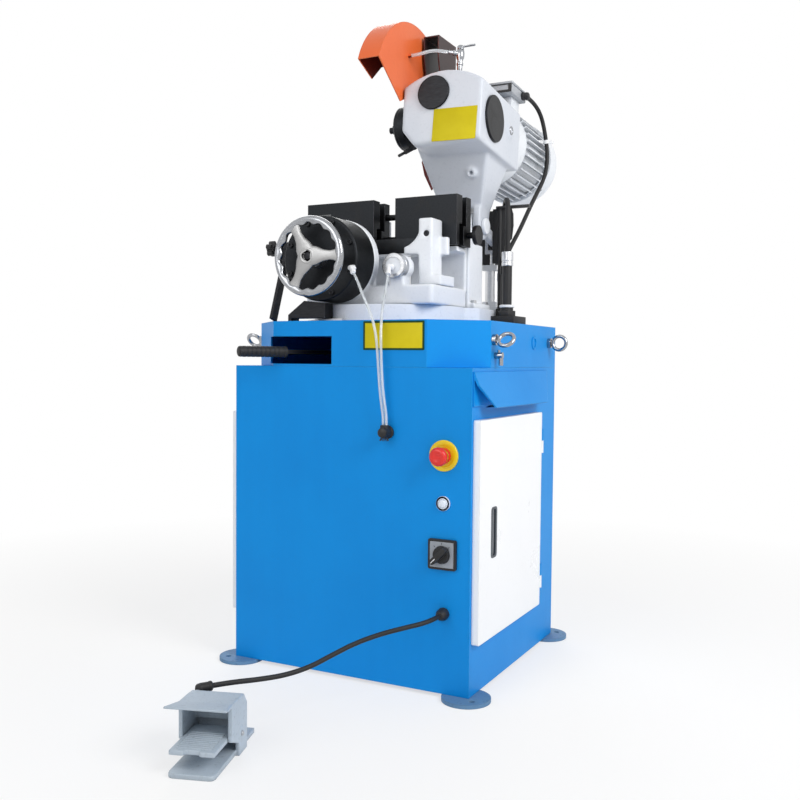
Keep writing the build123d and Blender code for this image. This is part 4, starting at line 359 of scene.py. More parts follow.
finishSlot.update({"headGreyPaint": "machine_white", "stripRedPaint": "bracket_red",
                   "boxGreyPaint": "gear_grey", "wheelAlloy": "chrome", "fittingWhiteMoulded": "button_white",
                   "faceGreyMoulded": "gear_grey", "pullGreyMoulded": "black_plastic",
                   "plateYellowEnamel": "estop_yellow", "plateGreenEnamel": "black_plastic"})
for subpart in frame["record"]["subparts"]:
    name = subpart["node"]
    material = finish[nodeFinish.get(name, slotFinish[subpart["material_slot"]])]
    nodes[name].data.materials.clear()
    nodes[name].data.materials.append(material)
print("materials:", len(finish))


# making pieces: a form is drawn in millimetres and set down in metres

stance = {"pivot": (0, 145, 1050), "headTilt": -6, "driveAxis": (0, -110.7, 230.2), "driveTilt": 3.5,
          "pedal": (-5.3, -729.7, 0), "pedalTurn": 17.8, "swivel": (-27, -15), "vise": (-94, 943)}
headPlace = Matrix.Translation(stance["pivot"]) @ Matrix.Rotation(deg(stance["headTilt"]), 4, "X")
driveAxis = Vector(stance["driveAxis"])
drivePlace = (headPlace @ Matrix.Translation(driveAxis) @ Matrix.Rotation(deg(stance["driveTilt"]), 4, "X")
              @ Matrix.Translation(-driveAxis))
pedalPlace = Matrix.Translation(stance["pedal"]) @ Matrix.Rotation(deg(stance["pedalTurn"]), 4, "Z")
level = Matrix.Identity(4)
viseX, viseZ = stance["vise"]


def inMetres(place):
    return Matrix.Scale(mm, 4) @ place @ Matrix.Scale(1 / mm, 4)


def aimed(position, axis, base=level):
    turn = Vector(axis).to_track_quat("Z", "Y").to_matrix().to_4x4()
    return base @ Matrix.Translation(position) @ turn


def facing(position, base=level):
    return base @ Matrix.Translation(position) @ Matrix.Rotation(deg(90), 4, "X")  # X right, Y up, Z front


def upright(x, y):
    return Matrix.Translation((x, y, 0))


class Form:
    def __init__(self):
        self.mesh = bmesh.new()

    def take(self, part, place):
        bmesh.ops.transform(part, matrix=place, verts=part.verts)
        carrier = bpy.data.meshes.new("carrier")
        part.to_mesh(carrier)
        part.free()
        self.mesh.from_mesh(carrier)
        bpy.data.meshes.remove(carrier)
        return self

    def skin(self, rings, place, closed=True, loop=False):
        part = bmesh.new()
        made = [[part.verts.new(point) for point in ring] for ring in rings]
        pairs = list(zip(made, made[1:])) + ([(made[-1], made[0])] if loop else [])
        for low, high in pairs:
            count = max(len(low), len(high))
            for index in range(count):
                following = (index + 1) % count
                corners = [low[index % len(low)], low[following % len(low)], high[following % len(high)],
                           high[index % len(high)]]
                unique = [corner for at, corner in enumerate(corners) if corner not in corners[:at]]
                if len(unique) > 2:
                    part.faces.new(unique)
        if closed and not loop:
            for ring in (made[0], made[-1]):
                if len(ring) > 2:
                    part.faces.new(ring)
        bmesh.ops.recalc_face_normals(part, faces=part.faces)
        return self.take(part, place)

    def lathe(self, profile, place, sides=48, loop=False):
        turns = [2 * math.pi * index / sides for index in range(sides)]
        rings = [[(radius * math.cos(a), radius * math.sin(a), height)
                  for a in (turns if radius else turns[:1])] for radius, height in profile]
        return self.skin(rings, place, loop=loop)

    def prism(self, outline, low, high, place, bevel=0.0, steps=3):
        part = bmesh.new()
        bottom = part.faces.new([part.verts.new((x, y, low)) for x, y in outline])
        grown = bmesh.ops.extrude_face_region(part, geom=[bottom])
        lifted = [item for item in grown["geom"] if isinstance(item, bmesh.types.BMVert)]
        bmesh.ops.translate(part, verts=lifted, vec=(0, 0, high - low))
        bmesh.ops.recalc_face_normals(part, faces=part.faces)
        if bevel:
            bmesh.ops.bevel(part, geom=part.edges[:], offset=bevel, segments=steps, profile=0.5,
                            affect="EDGES", clamp_overlap=True)
        return self.take(part, place)

    def block(self, low, high, place=level, bevel=0.0):
        outline = [(low[0], low[1]), (high[0], low[1]), (high[0], high[1]), (low[0], high[1])]
        return self.prism(outline, low[2], high[2], place, bevel)

    def window(self, outer, inner, low, high, place):
        edges = ((outer, low), (outer, high), (inner, high), (inner, low))
        return self.skin([[(x, y, z) for x, y in line] for line, z in edges], place, loop=True)

    def toMesh(self, name):
        bmesh.ops.scale(self.mesh, vec=(mm, mm, mm), verts=self.mesh.verts)
        mesh = bpy.data.meshes.new(name)
        self.mesh.to_mesh(mesh)
        self.mesh.free()
        return mesh


def setDown(name, mesh, body, material, crease=35.0):
    mesh.shade_smooth()
    if crease < 180:
        mesh.set_sharp_from_angle(angle=deg(crease))
    if material and not mesh.materials:
        mesh.materials.append(finish[material])
    made = bpy.data.objects.new(name, mesh)
    bpy.context.scene.collection.objects.link(made)
    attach(made, body)
    return made


# a piece is made of steps: each names one of the form's ways and what that takes

formWays = {"skin": Form.skin, "lathe": Form.lathe, "prism": Form.prism, "block": Form.block,
            "window": Form.window}


def assemble(piece):
    form = Form()
    for way, *values in piece["steps"]:
        formWays[way](form, *values)
    bmesh.ops.remove_doubles(form.mesh, verts=form.mesh.verts, dist=0.002)
    made = setDown(piece["name"], form.toMesh(piece["name"]), piece["body"], piece["finish"],
                   piece.get("crease", 30))
    if "stands" in piece:
        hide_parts(piece["stands"])


def hexagon(radius):
    return [(radius * math.cos(deg(60 * k)), radius * math.sin(deg(60 * k))) for k in range(6)]


def roundedOutline(width, height, radius, steps=6):
    points = []
    for cx, cy, start in ((1, 1, 0), (-1, 1, 90), (-1, -1, 180), (1, -1, 270)):
        for step in range(steps + 1):
            a = deg(start + 90 * step / steps)
            points.append((cx * (width / 2 - radius) + radius * math.cos(a),
                           cy * (height / 2 - radius) + radius * math.sin(a)))
    return points


def newObject(name, data):
    made = bpy.data.objects.new(name, data)
    bpy.context.scene.collection.objects.link(made)
    return made


def evaluated(maker):
    bpy.context.view_layer.update()
    graph = bpy.context.evaluated_depsgraph_get()
    return bpy.data.meshes.new_from_object(maker.evaluated_get(graph))


# camera at the photograph's place

def setCamera(look):
    yaw, pitch, roll = (deg(look[key]) for key in ("yaw", "pitch", "roll"))
    ahead = Vector((-math.sin(yaw) * math.cos(pitch), math.cos(yaw) * math.cos(pitch), -math.sin(pitch)))
    right = Vector((math.cos(yaw), math.sin(yaw), 0))
    up = right.cross(ahead)
    tiltRight = math.cos(roll) * right + math.sin(roll) * up
    tiltUp = math.cos(roll) * up - math.sin(roll) * right
    data = bpy.data.cameras.new("photoCamera")
    data.lens = look["lens"]
    data.sensor_width = 36.0
    camera = newObject("photoCamera", data)
    turn = Matrix((tiltRight, tiltUp, -ahead)).transposed().to_4x4()
    camera.matrix_world = Matrix.Translation(look["place"]) @ turn
    bpy.context.scene.camera = camera


setCamera({"place": (1.0496, -2.0530, 0.7137), "yaw": 27.23, "pitch": 2.45, "roll": 0.49, "lens": 42.15})


# cords: each follows its own route, in metres

def lineObject(name, route, thickness):
    curve = bpy.data.curves.new(name, "CURVE")
    curve.dimensions = "3D"
    curve.resolution_u = 10
    spline = curve.splines.new("NURBS")
    spline.points.add(len(route) - 1)
    for point, place in zip(spline.points, route):
        point.co = (*place, 1.0)
    spline.order_u = 3
    spline.use_endpoint_u = True
    curve.bevel_depth = thickness / 2
    curve.bevel_resolution = 5
    curve.use_fill_caps = True
    return newObject(name, curve)


def layCord(cord):
    made = lineObject(cord["name"], cord["route"], cord["diameter"])
    made.data.materials.append(finish[cord["finish"]])
    if "across" in cord:  # a cord between two bodies becomes a mesh in world space, attached to no body
        mesh = evaluated(made)
        curve = made.data
        bpy.data.objects.remove(made)
        bpy.data.curves.remove(curve)
        mesh.shade_smooth()
        made = newObject(cord["name"], mesh)
        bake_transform(made)
        guide = lineObject("guide", cord["route"], 0.0)
        path = [tuple(vertex.co) for vertex in evaluated(guide).vertices]
        bpy.data.objects.remove(guide)
    else:
        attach(made, cord["body"])
    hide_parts(cord["node"])


pedalCable = {"name": "pedalCable", "node": "pedal_cable", "body": "base", "finish": "blackRubber",
              "diameter": 0.010, "length": 0.496, "stiffness": "medium", "lay": "loose", "route": [
                  (0.241, -0.296, 0.180), (0.241, -0.320, 0.180), (0.231, -0.349, 0.177),
                  (0.205, -0.378, 0.172), (0.168, -0.412, 0.163), (0.132, -0.452, 0.150),
                  (0.103, -0.494, 0.133), (0.076, -0.536, 0.116), (0.047, -0.578, 0.108),
                  (0.014, -0.620, 0.107), (-0.0183, -0.6599, 0.1085), (-0.040, -0.686, 0.107)]}
leftHose = {"name": "leftAirHose", "node": "air_hose_left", "body": "base", "finish": "clearHose",
            "diameter": 0.006, "length": 0.363, "stiffness": "medium", "lay": "hanging", "route": [
                (0.002, -0.248, 0.906), (0.0148, -0.2528, 0.8884), (0.030, -0.262, 0.864),
                (0.050, -0.275, 0.837), (0.071, -0.286, 0.806), (0.084, -0.292, 0.768),
                (0.089, -0.293, 0.728), (0.092, -0.293, 0.686), (0.095, -0.292, 0.645),
                (0.099, -0.2905, 0.612), (0.1012, -0.288, 0.592), (0.1012, -0.288, 0.574)]}
rightHose = {"name": "rightAirHose", "node": "air_hose_right", "body": "base", "finish": "clearHose",
             "diameter": 0.006, "length": 0.377, "stiffness": "medium", "lay": "hanging", "route": [
                 (0.056, -0.186, 0.906), (0.0584, -0.1967, 0.8846), (0.067, -0.219, 0.862),
                 (0.079, -0.250, 0.838), (0.090, -0.278, 0.808), (0.096, -0.292, 0.770),
                 (0.098, -0.294, 0.728), (0.100, -0.294, 0.686), (0.103, -0.293, 0.645),
                 (0.107, -0.2905, 0.612), (0.1088, -0.288, 0.592), (0.1088, -0.288, 0.574)]}
archHose = {"name": "archHose", "node": "arch_hose", "body": "turntable", "finish": "blackRubber",
            "diameter": 0.013, "length": 0.3645, "stiffness": "limp", "lay": "taut", "route": [
                (0.213, 0.150, 0.984), (0.2134, 0.1492, 1.022), (0.213, 0.150, 1.0926),
                (0.201, 0.1734, 1.119), (0.184, 0.2066, 1.119), (0.172, 0.230, 1.0926),
                (0.1715, 0.231, 1.024), (0.1717, 0.2306, 0.977), (0.172, 0.230, 0.940)]}
motorCable = {"name": "motorCable", "node": "motor_cable", "finish": "blackRubber",
              "across": ("head", "turntable", (0.215, 0.438, 1.290), (0.195, 0.1955, 0.985)),
              "diameter": 0.011, "length": 0.616, "stiffness": "medium", "lay": "hanging", "route": [
                  (0.195, 0.333119, 1.409465), (0.1955, 0.356, 1.4085), (0.1975, 0.380, 1.4035),
                  (0.201, 0.402, 1.393), (0.205, 0.418, 1.375), (0.2085, 0.427, 1.352),
                  (0.2115, 0.433, 1.327), (0.214, 0.438, 1.300), (0.215, 0.440, 1.272), (0.215, 0.436, 1.245),
                  (0.214, 0.424, 1.220), (0.213, 0.404, 1.196), (0.2115, 0.377, 1.171), (0.210, 0.347, 1.143),
                  (0.2085, 0.316, 1.113), (0.207, 0.283, 1.080), (0.2045, 0.250, 1.046),
                  (0.200, 0.219, 1.014), (0.195, 0.1955, 0.985), (0.192, 0.182, 0.9578)]}
coolantHose = {"name": "coolantHose", "node": "coolant_hose", "finish": "clearHose",
               "across": ("head", "guard", (0.0875, 0.055, 1.4637), (0.024, 0.0195, 1.456)),
               "diameter": 0.008, "length": 0.090, "stiffness": "limp", "lay": "loose", "route": [
                   (0.08749, 0.05518, 1.46366), (0.073, 0.043, 1.465), (0.057, 0.0325, 1.4645),
                   (0.041, 0.0245, 1.4605), (0.024, 0.0195, 1.456), (0.0083, 0.0195, 1.456)]}
cords = (pedalCable, leftHose, rightHose, archHose, motorCable, coolantHose)
for cord in cords:
    layCord(cord)
print("cords:", len(cords))


# castings: a CAD solid merged with its bosses, re-meshed in its own frame, drilled and softened

def remesh(maker, voxel):
    shaping = maker.modifiers.new("solid", "REMESH")
    shaping.mode = "VOXEL"
    shaping.voxel_size = voxel * mm


def castPiece(cast):
    scaled = inMetres(cast.get("place", level))
    rough = bmesh.new()
    rough.from_mesh(nodes[cast["node"]].data)
    bmesh.ops.remove_doubles(rough, verts=rough.verts, dist=1e-5)
    bmesh.ops.transform(rough, matrix=scaled.inverted(), verts=rough.verts)
    for profile, place, sides in cast.get("bosses", ()):
        carrier = Form().lathe(profile, place, sides).toMesh("carrier")
        rough.from_mesh(carrier)
        bpy.data.meshes.remove(carrier)
    blank = bpy.data.meshes.new("blank")
    rough.to_mesh(blank)
    rough.free()
    maker = newObject("maker", blank)
    used = [maker]
    remesh(maker, cast["voxel"])
    for profile, place, sides in cast.get("holes", ()):
        tool = newObject("tool", Form().lathe(profile, place, sides).toMesh("tool"))
        used.append(tool)
        taking = maker.modifiers.new("cut", "BOOLEAN")
        taking.operation = "DIFFERENCE"
        taking.object = tool
        taking.solver = "FAST"
        remesh(maker, cast["voxel"])
    soften = maker.modifiers.new("soften", "SMOOTH")
    soften.factor = 0.5
    soften.iterations = cast["soften"]
    mesh = evaluated(maker)
    for item in used:
        bpy.data.objects.remove(item)
    mesh.transform(scaled)
    mesh.name = cast["name"]
    mesh.materials.clear()
    made = setDown(cast["name"], mesh, cast["body"], cast["finish"], crease=180)
    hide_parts(cast["node"])
    print("cast:", cast["name"], len(mesh.polygons), "faces")


chinBoss = aimed((143.6, -79.5, 114), (0, -1, -0.35))
castPiece({"name": "headCast", "node": "head_casting", "body": "head", "finish": "headGreyPaint",
           "place": headPlace, "voxel": 2.8, "soften": 22,
           "bosses": [([(0, -30), (15, -30), (12.5, 4), (11.5, 6), (0, 6)], chinBoss, 48),
                      ([(0, -12), (26, -12), (19, 10), (0, 12)], aimed((203, -7.6, 234.9), (1, 0, 0)), 48)],
           "holes": [([(0, -8), (5.5, -8), (5.5, 30), (0, 30)], chinBoss, 24)]})
castPiece({"name": "viseBedCast", "node": "vise_bed", "body": "base", "finish": "castWhitePaint",
           "voxel": 2.4, "soften": 8})
castPiece({"name": "viseSlideCast", "node": "vise_slide", "body": "vise_slide", "finish": "castWhitePaint",
           "voxel": 2.2, "soften": 8, "holes": [([(0, -6), (7.2, -6), (7.2, 12), (0, 12)],
                                                 aimed((111.5, -107, 1004.6), (0, -1, 0)), 24)]})
castPiece({"name": "columnCast", "node": "column", "body": "turntable", "finish": "castWhitePaint",
           "voxel": 2.4, "soften": 8})
castPiece({"name": "pedalCast", "node": "pedal_hood", "body": "base", "finish": "pedalGreyPaint",
           "place": pedalPlace, "voxel": 1.5, "soften": 6,
           "bosses": [([(0, -6), (13, -6), (12, 2.5), (10, 3), (0, 3)],
                       aimed((side * 49, 10, 40), (side, 0, 0)), 32)
                      for side in (-1, 1)]})
castPiece({"name": "treadleCast", "node": "treadle", "body": "treadle", "finish": "pedalGreyPaint",
           "place": pedalPlace, "voxel": 1.4, "soften": 5})


# geometry nodes: bolt heads set on points, and rules for the rim, the ticks and the ribs

def startTree(name, sizes):
    tree = bpy.data.node_groups.new(name, "GeometryNodeTree")
    tree.interface.new_socket("Geometry", in_out="INPUT", socket_type="NodeSocketGeometry")
    for label, kind in dict(sizes, Finish="Material").items():
        tree.interface.new_socket(label, in_out="INPUT", socket_type="NodeSocket" + kind)
    tree.interface.new_socket("Geometry", in_out="OUTPUT", socket_type="NodeSocketGeometry")
    wire = Wire(tree)
    return tree, wire, wire.node("NodeGroupInput")


def endTree(wire, shape, material):
    solid = wire.node("GeometryNodeRealizeInstances", None, {0: shape})
    clothed = wire.node("GeometryNodeSetMaterial", None, {"Geometry": solid, "Material": material})
    closing = wire.tree.nodes.new("NodeGroupOutput")
    wire.feed(closing.inputs[0], clothed)


def grow(name, tree, sizes, spots=()):
    seed = bpy.data.meshes.new("seed")
    seed.from_pydata([tuple(c * mm for c in spot) for spot, axis in spots], [], [])
    if spots:
        aim = seed.attributes.new("aim", "FLOAT_VECTOR", "POINT")
        for index, (spot, axis) in enumerate(spots):
            aim.data[index].vector = Vector(axis).normalized()
    maker = bpy.data.objects.new("maker", seed)
    modifier = maker.modifiers.new("rule", "NODES")
    modifier.node_group = tree
    for item in tree.interface.items_tree:
        if item.in_out == "INPUT" and item.name in sizes:
            modifier[item.identifier] = sizes[item.name]
    bpy.context.scene.collection.objects.link(maker)
    mesh = evaluated(maker)
    maker.modifiers.clear()
    bpy.data.objects.remove(maker)
    mesh.name = name
    return mesh


def boltTree():
    tree, wire, entry = startTree("boltHeads", {"Sides": "Int", "Radius": "Float", "Height": "Float",
                                                "Recess": "Float", "Socket": "Float"})

    def raised(mesh, part, lift, size=None):
        made = wire.node("GeometryNodeExtrudeMesh", {"mode": "FACES"},
                         {"Mesh": mesh, "Selection": part.out("Top"), "Offset Scale": lift})
        if size is None:
            return made, made
        sized = wire.node("GeometryNodeScaleElements", None, {"Geometry": made, "Selection": made.out("Top"),
                                                              "Scale": size})
        return sized, made

    height = entry.out("Height")
    head = wire.node("GeometryNodeMeshCylinder", None, {"Vertices": entry.out("Sides"),
                                                        "Radius": entry.out("Radius"), "Depth": height})
    rim, rimPart = raised(head, head, height * 0.18, 0.88)
    ring, ringPart = raised(rim, rimPart, 0.0, entry.out("Socket"))
    well = raised(ring, ringPart, 0.0 - entry.out("Recess"))[0]
    lift = wire.node("ShaderNodeCombineXYZ", None, {"Z": height * 0.5})
    seated = wire.node("GeometryNodeTransform", None, {"Geometry": well, "Translation": lift})
    aim = wire.node("GeometryNodeInputNamedAttribute", {"data_type": "FLOAT_VECTOR"}, {"Name": "aim"})
    turn = wire.node("FunctionNodeAlignRotationToVector", {"axis": "Z"}, {"Vector": aim})
    placed = wire.node("GeometryNodeInstanceOnPoints", None, {"Points": entry, "Instance": seated,
                                                              "Rotation": turn})
    endTree(wire, placed, entry.out("Finish"))
    return tree


def onPlace(place, spots):
    turn = place.to_3x3()
    return [(tuple(place @ Vector(spot)), tuple(turn @ Vector(axis))) for spot, axis in spots]


def facingUp(*spots):
    return [(spot, (0, 0, 1)) for spot in spots]


capScrew = {"sides": 18, "radius": 5.0, "height": 3.6, "recess": 2.4, "socket": 0.62,
            "finish": "blackedSteel"}
hexBolt = {"sides": 6, "radius": 9.2, "height": 6.5, "recess": 0.4, "socket": 0.5, "finish": "groundSteel"}
smallScrew = dict(capScrew, radius=3.6, height=2.0, recess=1.2, finish="groundSteel")
jawScrew = dict(capScrew, radius=5.5, height=0.9, recess=0.6)
jawSpots = (-160, -80, 30, 134)
coverTurns = [deg(22.5 + 45 * k) for k in range(8)]
fanTurns = [deg(45 + 90 * k) for k in range(4)]
boltSets = (
    dict(capScrew, name="cylinderScrews", body="base", radius=6.2, height=4.0, spots=[
        ((viseX + 85 * math.cos(a), -235, viseZ + 85 * math.sin(a)), (0, -1, 0)) for a in coverTurns]),
    dict(capScrew, name="slideArmScrew", body="vise_slide", radius=7.0, height=3.0, recess=2.6,
         spots=[((111.5, -102, 1004.6), (0, -1, 0))]),
    dict(hexBolt, name="columnBolts", body="turntable", radius=7.5, height=6.0,
         spots=facingUp(*[(x, y, 853.5) for x in (33, 159) for y in (66, 140)])),
    dict(capScrew, name="feedCapScrews", body="turntable", radius=3.4, height=3.2, recess=2.0,
         spots=facingUp(*[(142 + dx, 232.5 + dy, 960) for dx in (-16, 16) for dy in (-16, 16)])),
    dict(smallScrew, name="boxLidScrews", body="head", spots=onPlace(drivePlace, facingUp(
        *[(x, y, 378.8) for x in (107, 178) for y in (71, 161)]))),
    dict(smallScrew, name="fanCoverScrews", body="head", radius=4.2, spots=onPlace(drivePlace, [
        ((92 + 113.6 * math.cos(a), 345, 238.2 + 113.6 * math.sin(a)), (math.cos(a), 0, math.sin(a)))
        for a in fanTurns])),
    dict(hexBolt, name="guardPivotBolt", body="head", radius=9.0, height=5.0,
         spots=[((-9.5, 135, 1512), (-1, 0, 0))]),
    dict(smallScrew, name="pedalScrews", body="base", radius=4.6, height=2.2, spots=onPlace(pedalPlace, [
        ((side * 52, 10, 40), (side, 0, 0)) for side in (-1, 1)])),
    dict(jawScrew, name="jawScrews", body="base", spots=facingUp(*[(x, 19, 1099.6) for x in jawSpots])),
    dict(jawScrew, name="frontJawScrews", body="vise_slide",
         spots=facingUp(*[(x, -35, 1099.6) for x in jawSpots])),
    dict(smallScrew, name="deflectorScrews", body="base", radius=4.0, spots=[
        ((-164, y, 829.3), (-0.59, 0, 0.81)) for y in (-222, -204)]))
boltRule = boltTree()
for bolts in boltSets:
    boltMesh = grow(bolts["name"], boltRule, {"Sides": bolts["sides"], "Radius": bolts["radius"] * mm,
                                              "Height": bolts["height"] * mm, "Recess": bolts["recess"] * mm,
                                              "Socket": bolts["socket"], "Finish": finish[bolts["finish"]]},
                    bolts["spots"])
    setDown(bolts["name"], boltMesh, bolts["body"], None, crease=25)
print("bolt sets:", len(boltSets))


# handwheel: a scalloped rim by rule, three cast spokes, hub, bolt and vise screw

def rimTree():
    tree, wire, entry = startTree("scallopedRim", {"Radius": "Float", "Width": "Float", "Depth": "Float",
                                                   "Scallops": "Float", "Wave": "Float"})
    sheet = wire.node("GeometryNodeMeshGrid", None, {"Size X": 1.0, "Size Y": 1.0, "Vertices X": 241,
                                                     "Vertices Y": 25})
    split = wire.node("ShaderNodeSeparateXYZ", None, {0: wire.node("GeometryNodeInputPosition")})
    around = (split.out("X") + 0.5) * (2 * math.pi)
    over = (split.out("Y") + 0.5) * (2 * math.pi)
    across = over.cosine()
    inward = across.maths("MAXIMUM", 0.0 - across, 0.0)
    wave = (around * entry.out("Scallops")).sine()
    reach = entry.out("Radius") + across * entry.out("Width") - inward * wave * entry.out("Wave")
    spot = wire.node("ShaderNodeCombineXYZ", None, {"X": reach * around.cosine(), "Y": reach * around.sine(),
                                                    "Z": over.sine() * entry.out("Depth")})
    bent = wire.node("GeometryNodeSetPosition", None, {"Geometry": sheet, "Position": spot})
    welded = wire.node("GeometryNodeMergeByDistance", None, {"Geometry": bent, "Distance": 0.00001})
    endTree(wire, welded, entry.out("Finish"))
    return tree


wheel = {"place": facing((viseX, -281, viseZ)), "spokes": (0, 120, 240), "stations": (
    (10, 23.0, 7.0, 3.5), (24, 20.0, 6.5, 3.5), (40, 13.0, 5.6, 2.5), (56, 10.4, 5.0, 1.2),
    (67, 12.0, 5.0, 0.4), (77, 17.0, 5.6, 0.0)), "square": 0.7, "sides": 20, "lead": 6, "threads": 40,
    "hub": [(11.2, -18.7), (20, -18.7), (21, -17.5), (21, 4), (20, 8), (17.5, 10.4), (14.5, 11), (13, 10.2),
            (12.6, 9), (12.6, 3), (0, 3)],
    "rim": {"Radius": 81 * mm, "Width": 9 * mm, "Depth": 8.6 * mm, "Scallops": 15.0, "Wave": 2.6 * mm,
            "Finish": finish["brightPlate"]}}


def swollen(value):
    return math.copysign(abs(value) ** wheel["square"], value)


rimMesh = grow("handwheelRim", rimTree(), wheel["rim"])
rimMesh.transform(inMetres(wheel["place"]))
rimTurn = bmesh.new()
rimTurn.from_mesh(rimMesh)
bmesh.ops.recalc_face_normals(rimTurn, faces=rimTurn.faces)
rimTurn.to_mesh(rimMesh)
rimTurn.free()
setDown("handwheelRim", rimMesh, "handwheel", None, crease=180)
wheelTurns = [2 * math.pi * k / wheel["sides"] for k in range(wheel["sides"])]
spokeRings = [[(reach, half * swollen(math.cos(a)), lift + thick * swollen(math.sin(a))) for a in wheelTurns]
              for reach, half, thick, lift in wheel["stations"]]
assemble({"name": "handwheelSpokes", "body": "handwheel", "finish": "wheelAlloy", "crease": 40,
          "stands": "handwheel",
          "steps": [("skin", spokeRings, wheel["place"] @ Matrix.Rotation(deg(angle), 4, "Z"))
                    for angle in wheel["spokes"]] + [("lathe", wheel["hub"], wheel["place"])]})
screwLine = [(0, 3), (10.6, 3), (10.6, -19)]
for thread in range(wheel["threads"]):
    start = -20 - wheel["lead"] * thread
    screwLine += [(10.6, start), (9.0, start - 2), (9.0, start - 3.4), (10.6, start - 5.4)]
screwLine += [(9.5, -261), (0, -261)]
assemble({"name": "viseScrew", "body": "handwheel", "finish": "blackedSteel", "steps": [
    ("lathe", screwLine, wheel["place"], 28), ("prism", hexagon(9.2), 3, 7.6, wheel["place"], 0.7)]})
print("handwheel done")


# tick marks of the angle scale

def tickTree():
    tree, wire, entry = startTree("scaleTicks", {"Count": "Int", "Radius": "Float", "First": "Float",
                                                 "Step": "Float", "Height": "Float"})
    row = wire.node("GeometryNodeMeshLine", {"mode": "OFFSET"}, {"Count": entry.out("Count")})
    index = wire.node("GeometryNodeInputIndex")
    angle = entry.out("First") + index * entry.out("Step")
    radius = entry.out("Radius")
    spot = wire.node("ShaderNodeCombineXYZ", None, {"X": radius * angle.cosine() + stance["swivel"][0] * mm,
                                                    "Y": radius * angle.sine() + stance["swivel"][1] * mm,
                                                    "Z": entry.out("Height")})
    placed = wire.node("GeometryNodeSetPosition", None, {"Geometry": row, "Position": spot})
    fifth = index.maths("MODULO", index, 5.0)
    longer = fifth.maths("LESS_THAN", fifth, 0.5)
    size = wire.node("ShaderNodeCombineXYZ", None, {"X": 0.6 + longer * 0.4, "Y": 1.0, "Z": 1.0})
    bar = wire.node("GeometryNodeMeshCube", None, {"Size": (0.0115, 0.0014, 0.0012)})
    turn = wire.node("ShaderNodeCombineXYZ", None, {"Z": angle})
    rows = wire.node("GeometryNodeInstanceOnPoints", None, {"Points": placed, "Instance": bar,
                                                            "Rotation": turn, "Scale": size})
    endTree(wire, rows, entry.out("Finish"))
    return tree


tickMesh = grow("scaleTicks", tickTree(), {"Count": 47, "Radius": 0.198, "First": deg(217), "Step": deg(1.0),
                                           "Height": 0.8062, "Finish": finish["fittingWhiteMoulded"]})
setDown("scaleTicks", tickMesh, "base", None)


# raised ribs on the treadle

def ribTree():
    tree, wire, entry = startTree("treadRibs", {"Count": "Int", "Pitch": "Float", "Length": "Float",
                                                "First": "Float", "Height": "Float"})
    row = wire.node("GeometryNodeMeshLine", {"mode": "OFFSET"}, {"Count": entry.out("Count")})
    index = wire.node("GeometryNodeInputIndex")
    spot = wire.node("ShaderNodeCombineXYZ", None, {"Y": index * entry.out("Pitch") + entry.out("First"),
                                                    "Z": entry.out("Height")})
    placed = wire.node("GeometryNodeSetPosition", None, {"Geometry": row, "Position": spot})
    bar = wire.node("GeometryNodeMeshCylinder", None, {"Vertices": 10, "Radius": 0.0016, "Depth": 1.0})
    size = wire.node("ShaderNodeCombineXYZ", None, {"X": 1.0, "Y": 1.0, "Z": entry.out("Length")})
    rows = wire.node("GeometryNodeInstanceOnPoints", None, {"Points": placed, "Instance": bar,
                                                            "Rotation": (0.0, math.pi / 2, 0.0),
                                                            "Scale": size})
    endTree(wire, rows, entry.out("Finish"))
    return tree


ribMesh = grow("treadRibs", ribTree(), {"Count": 10, "Pitch": 0.0075, "Length": 0.064, "First": -0.087,
                                        "Height": 0.0470, "Finish": finish["pedalGreyPaint"]})
ribMesh.transform(inMetres(pedalPlace))
setDown("treadRibs", ribMesh, "treadle", None)
print("rules done: rim, ticks, ribs")


# controls on the front panel

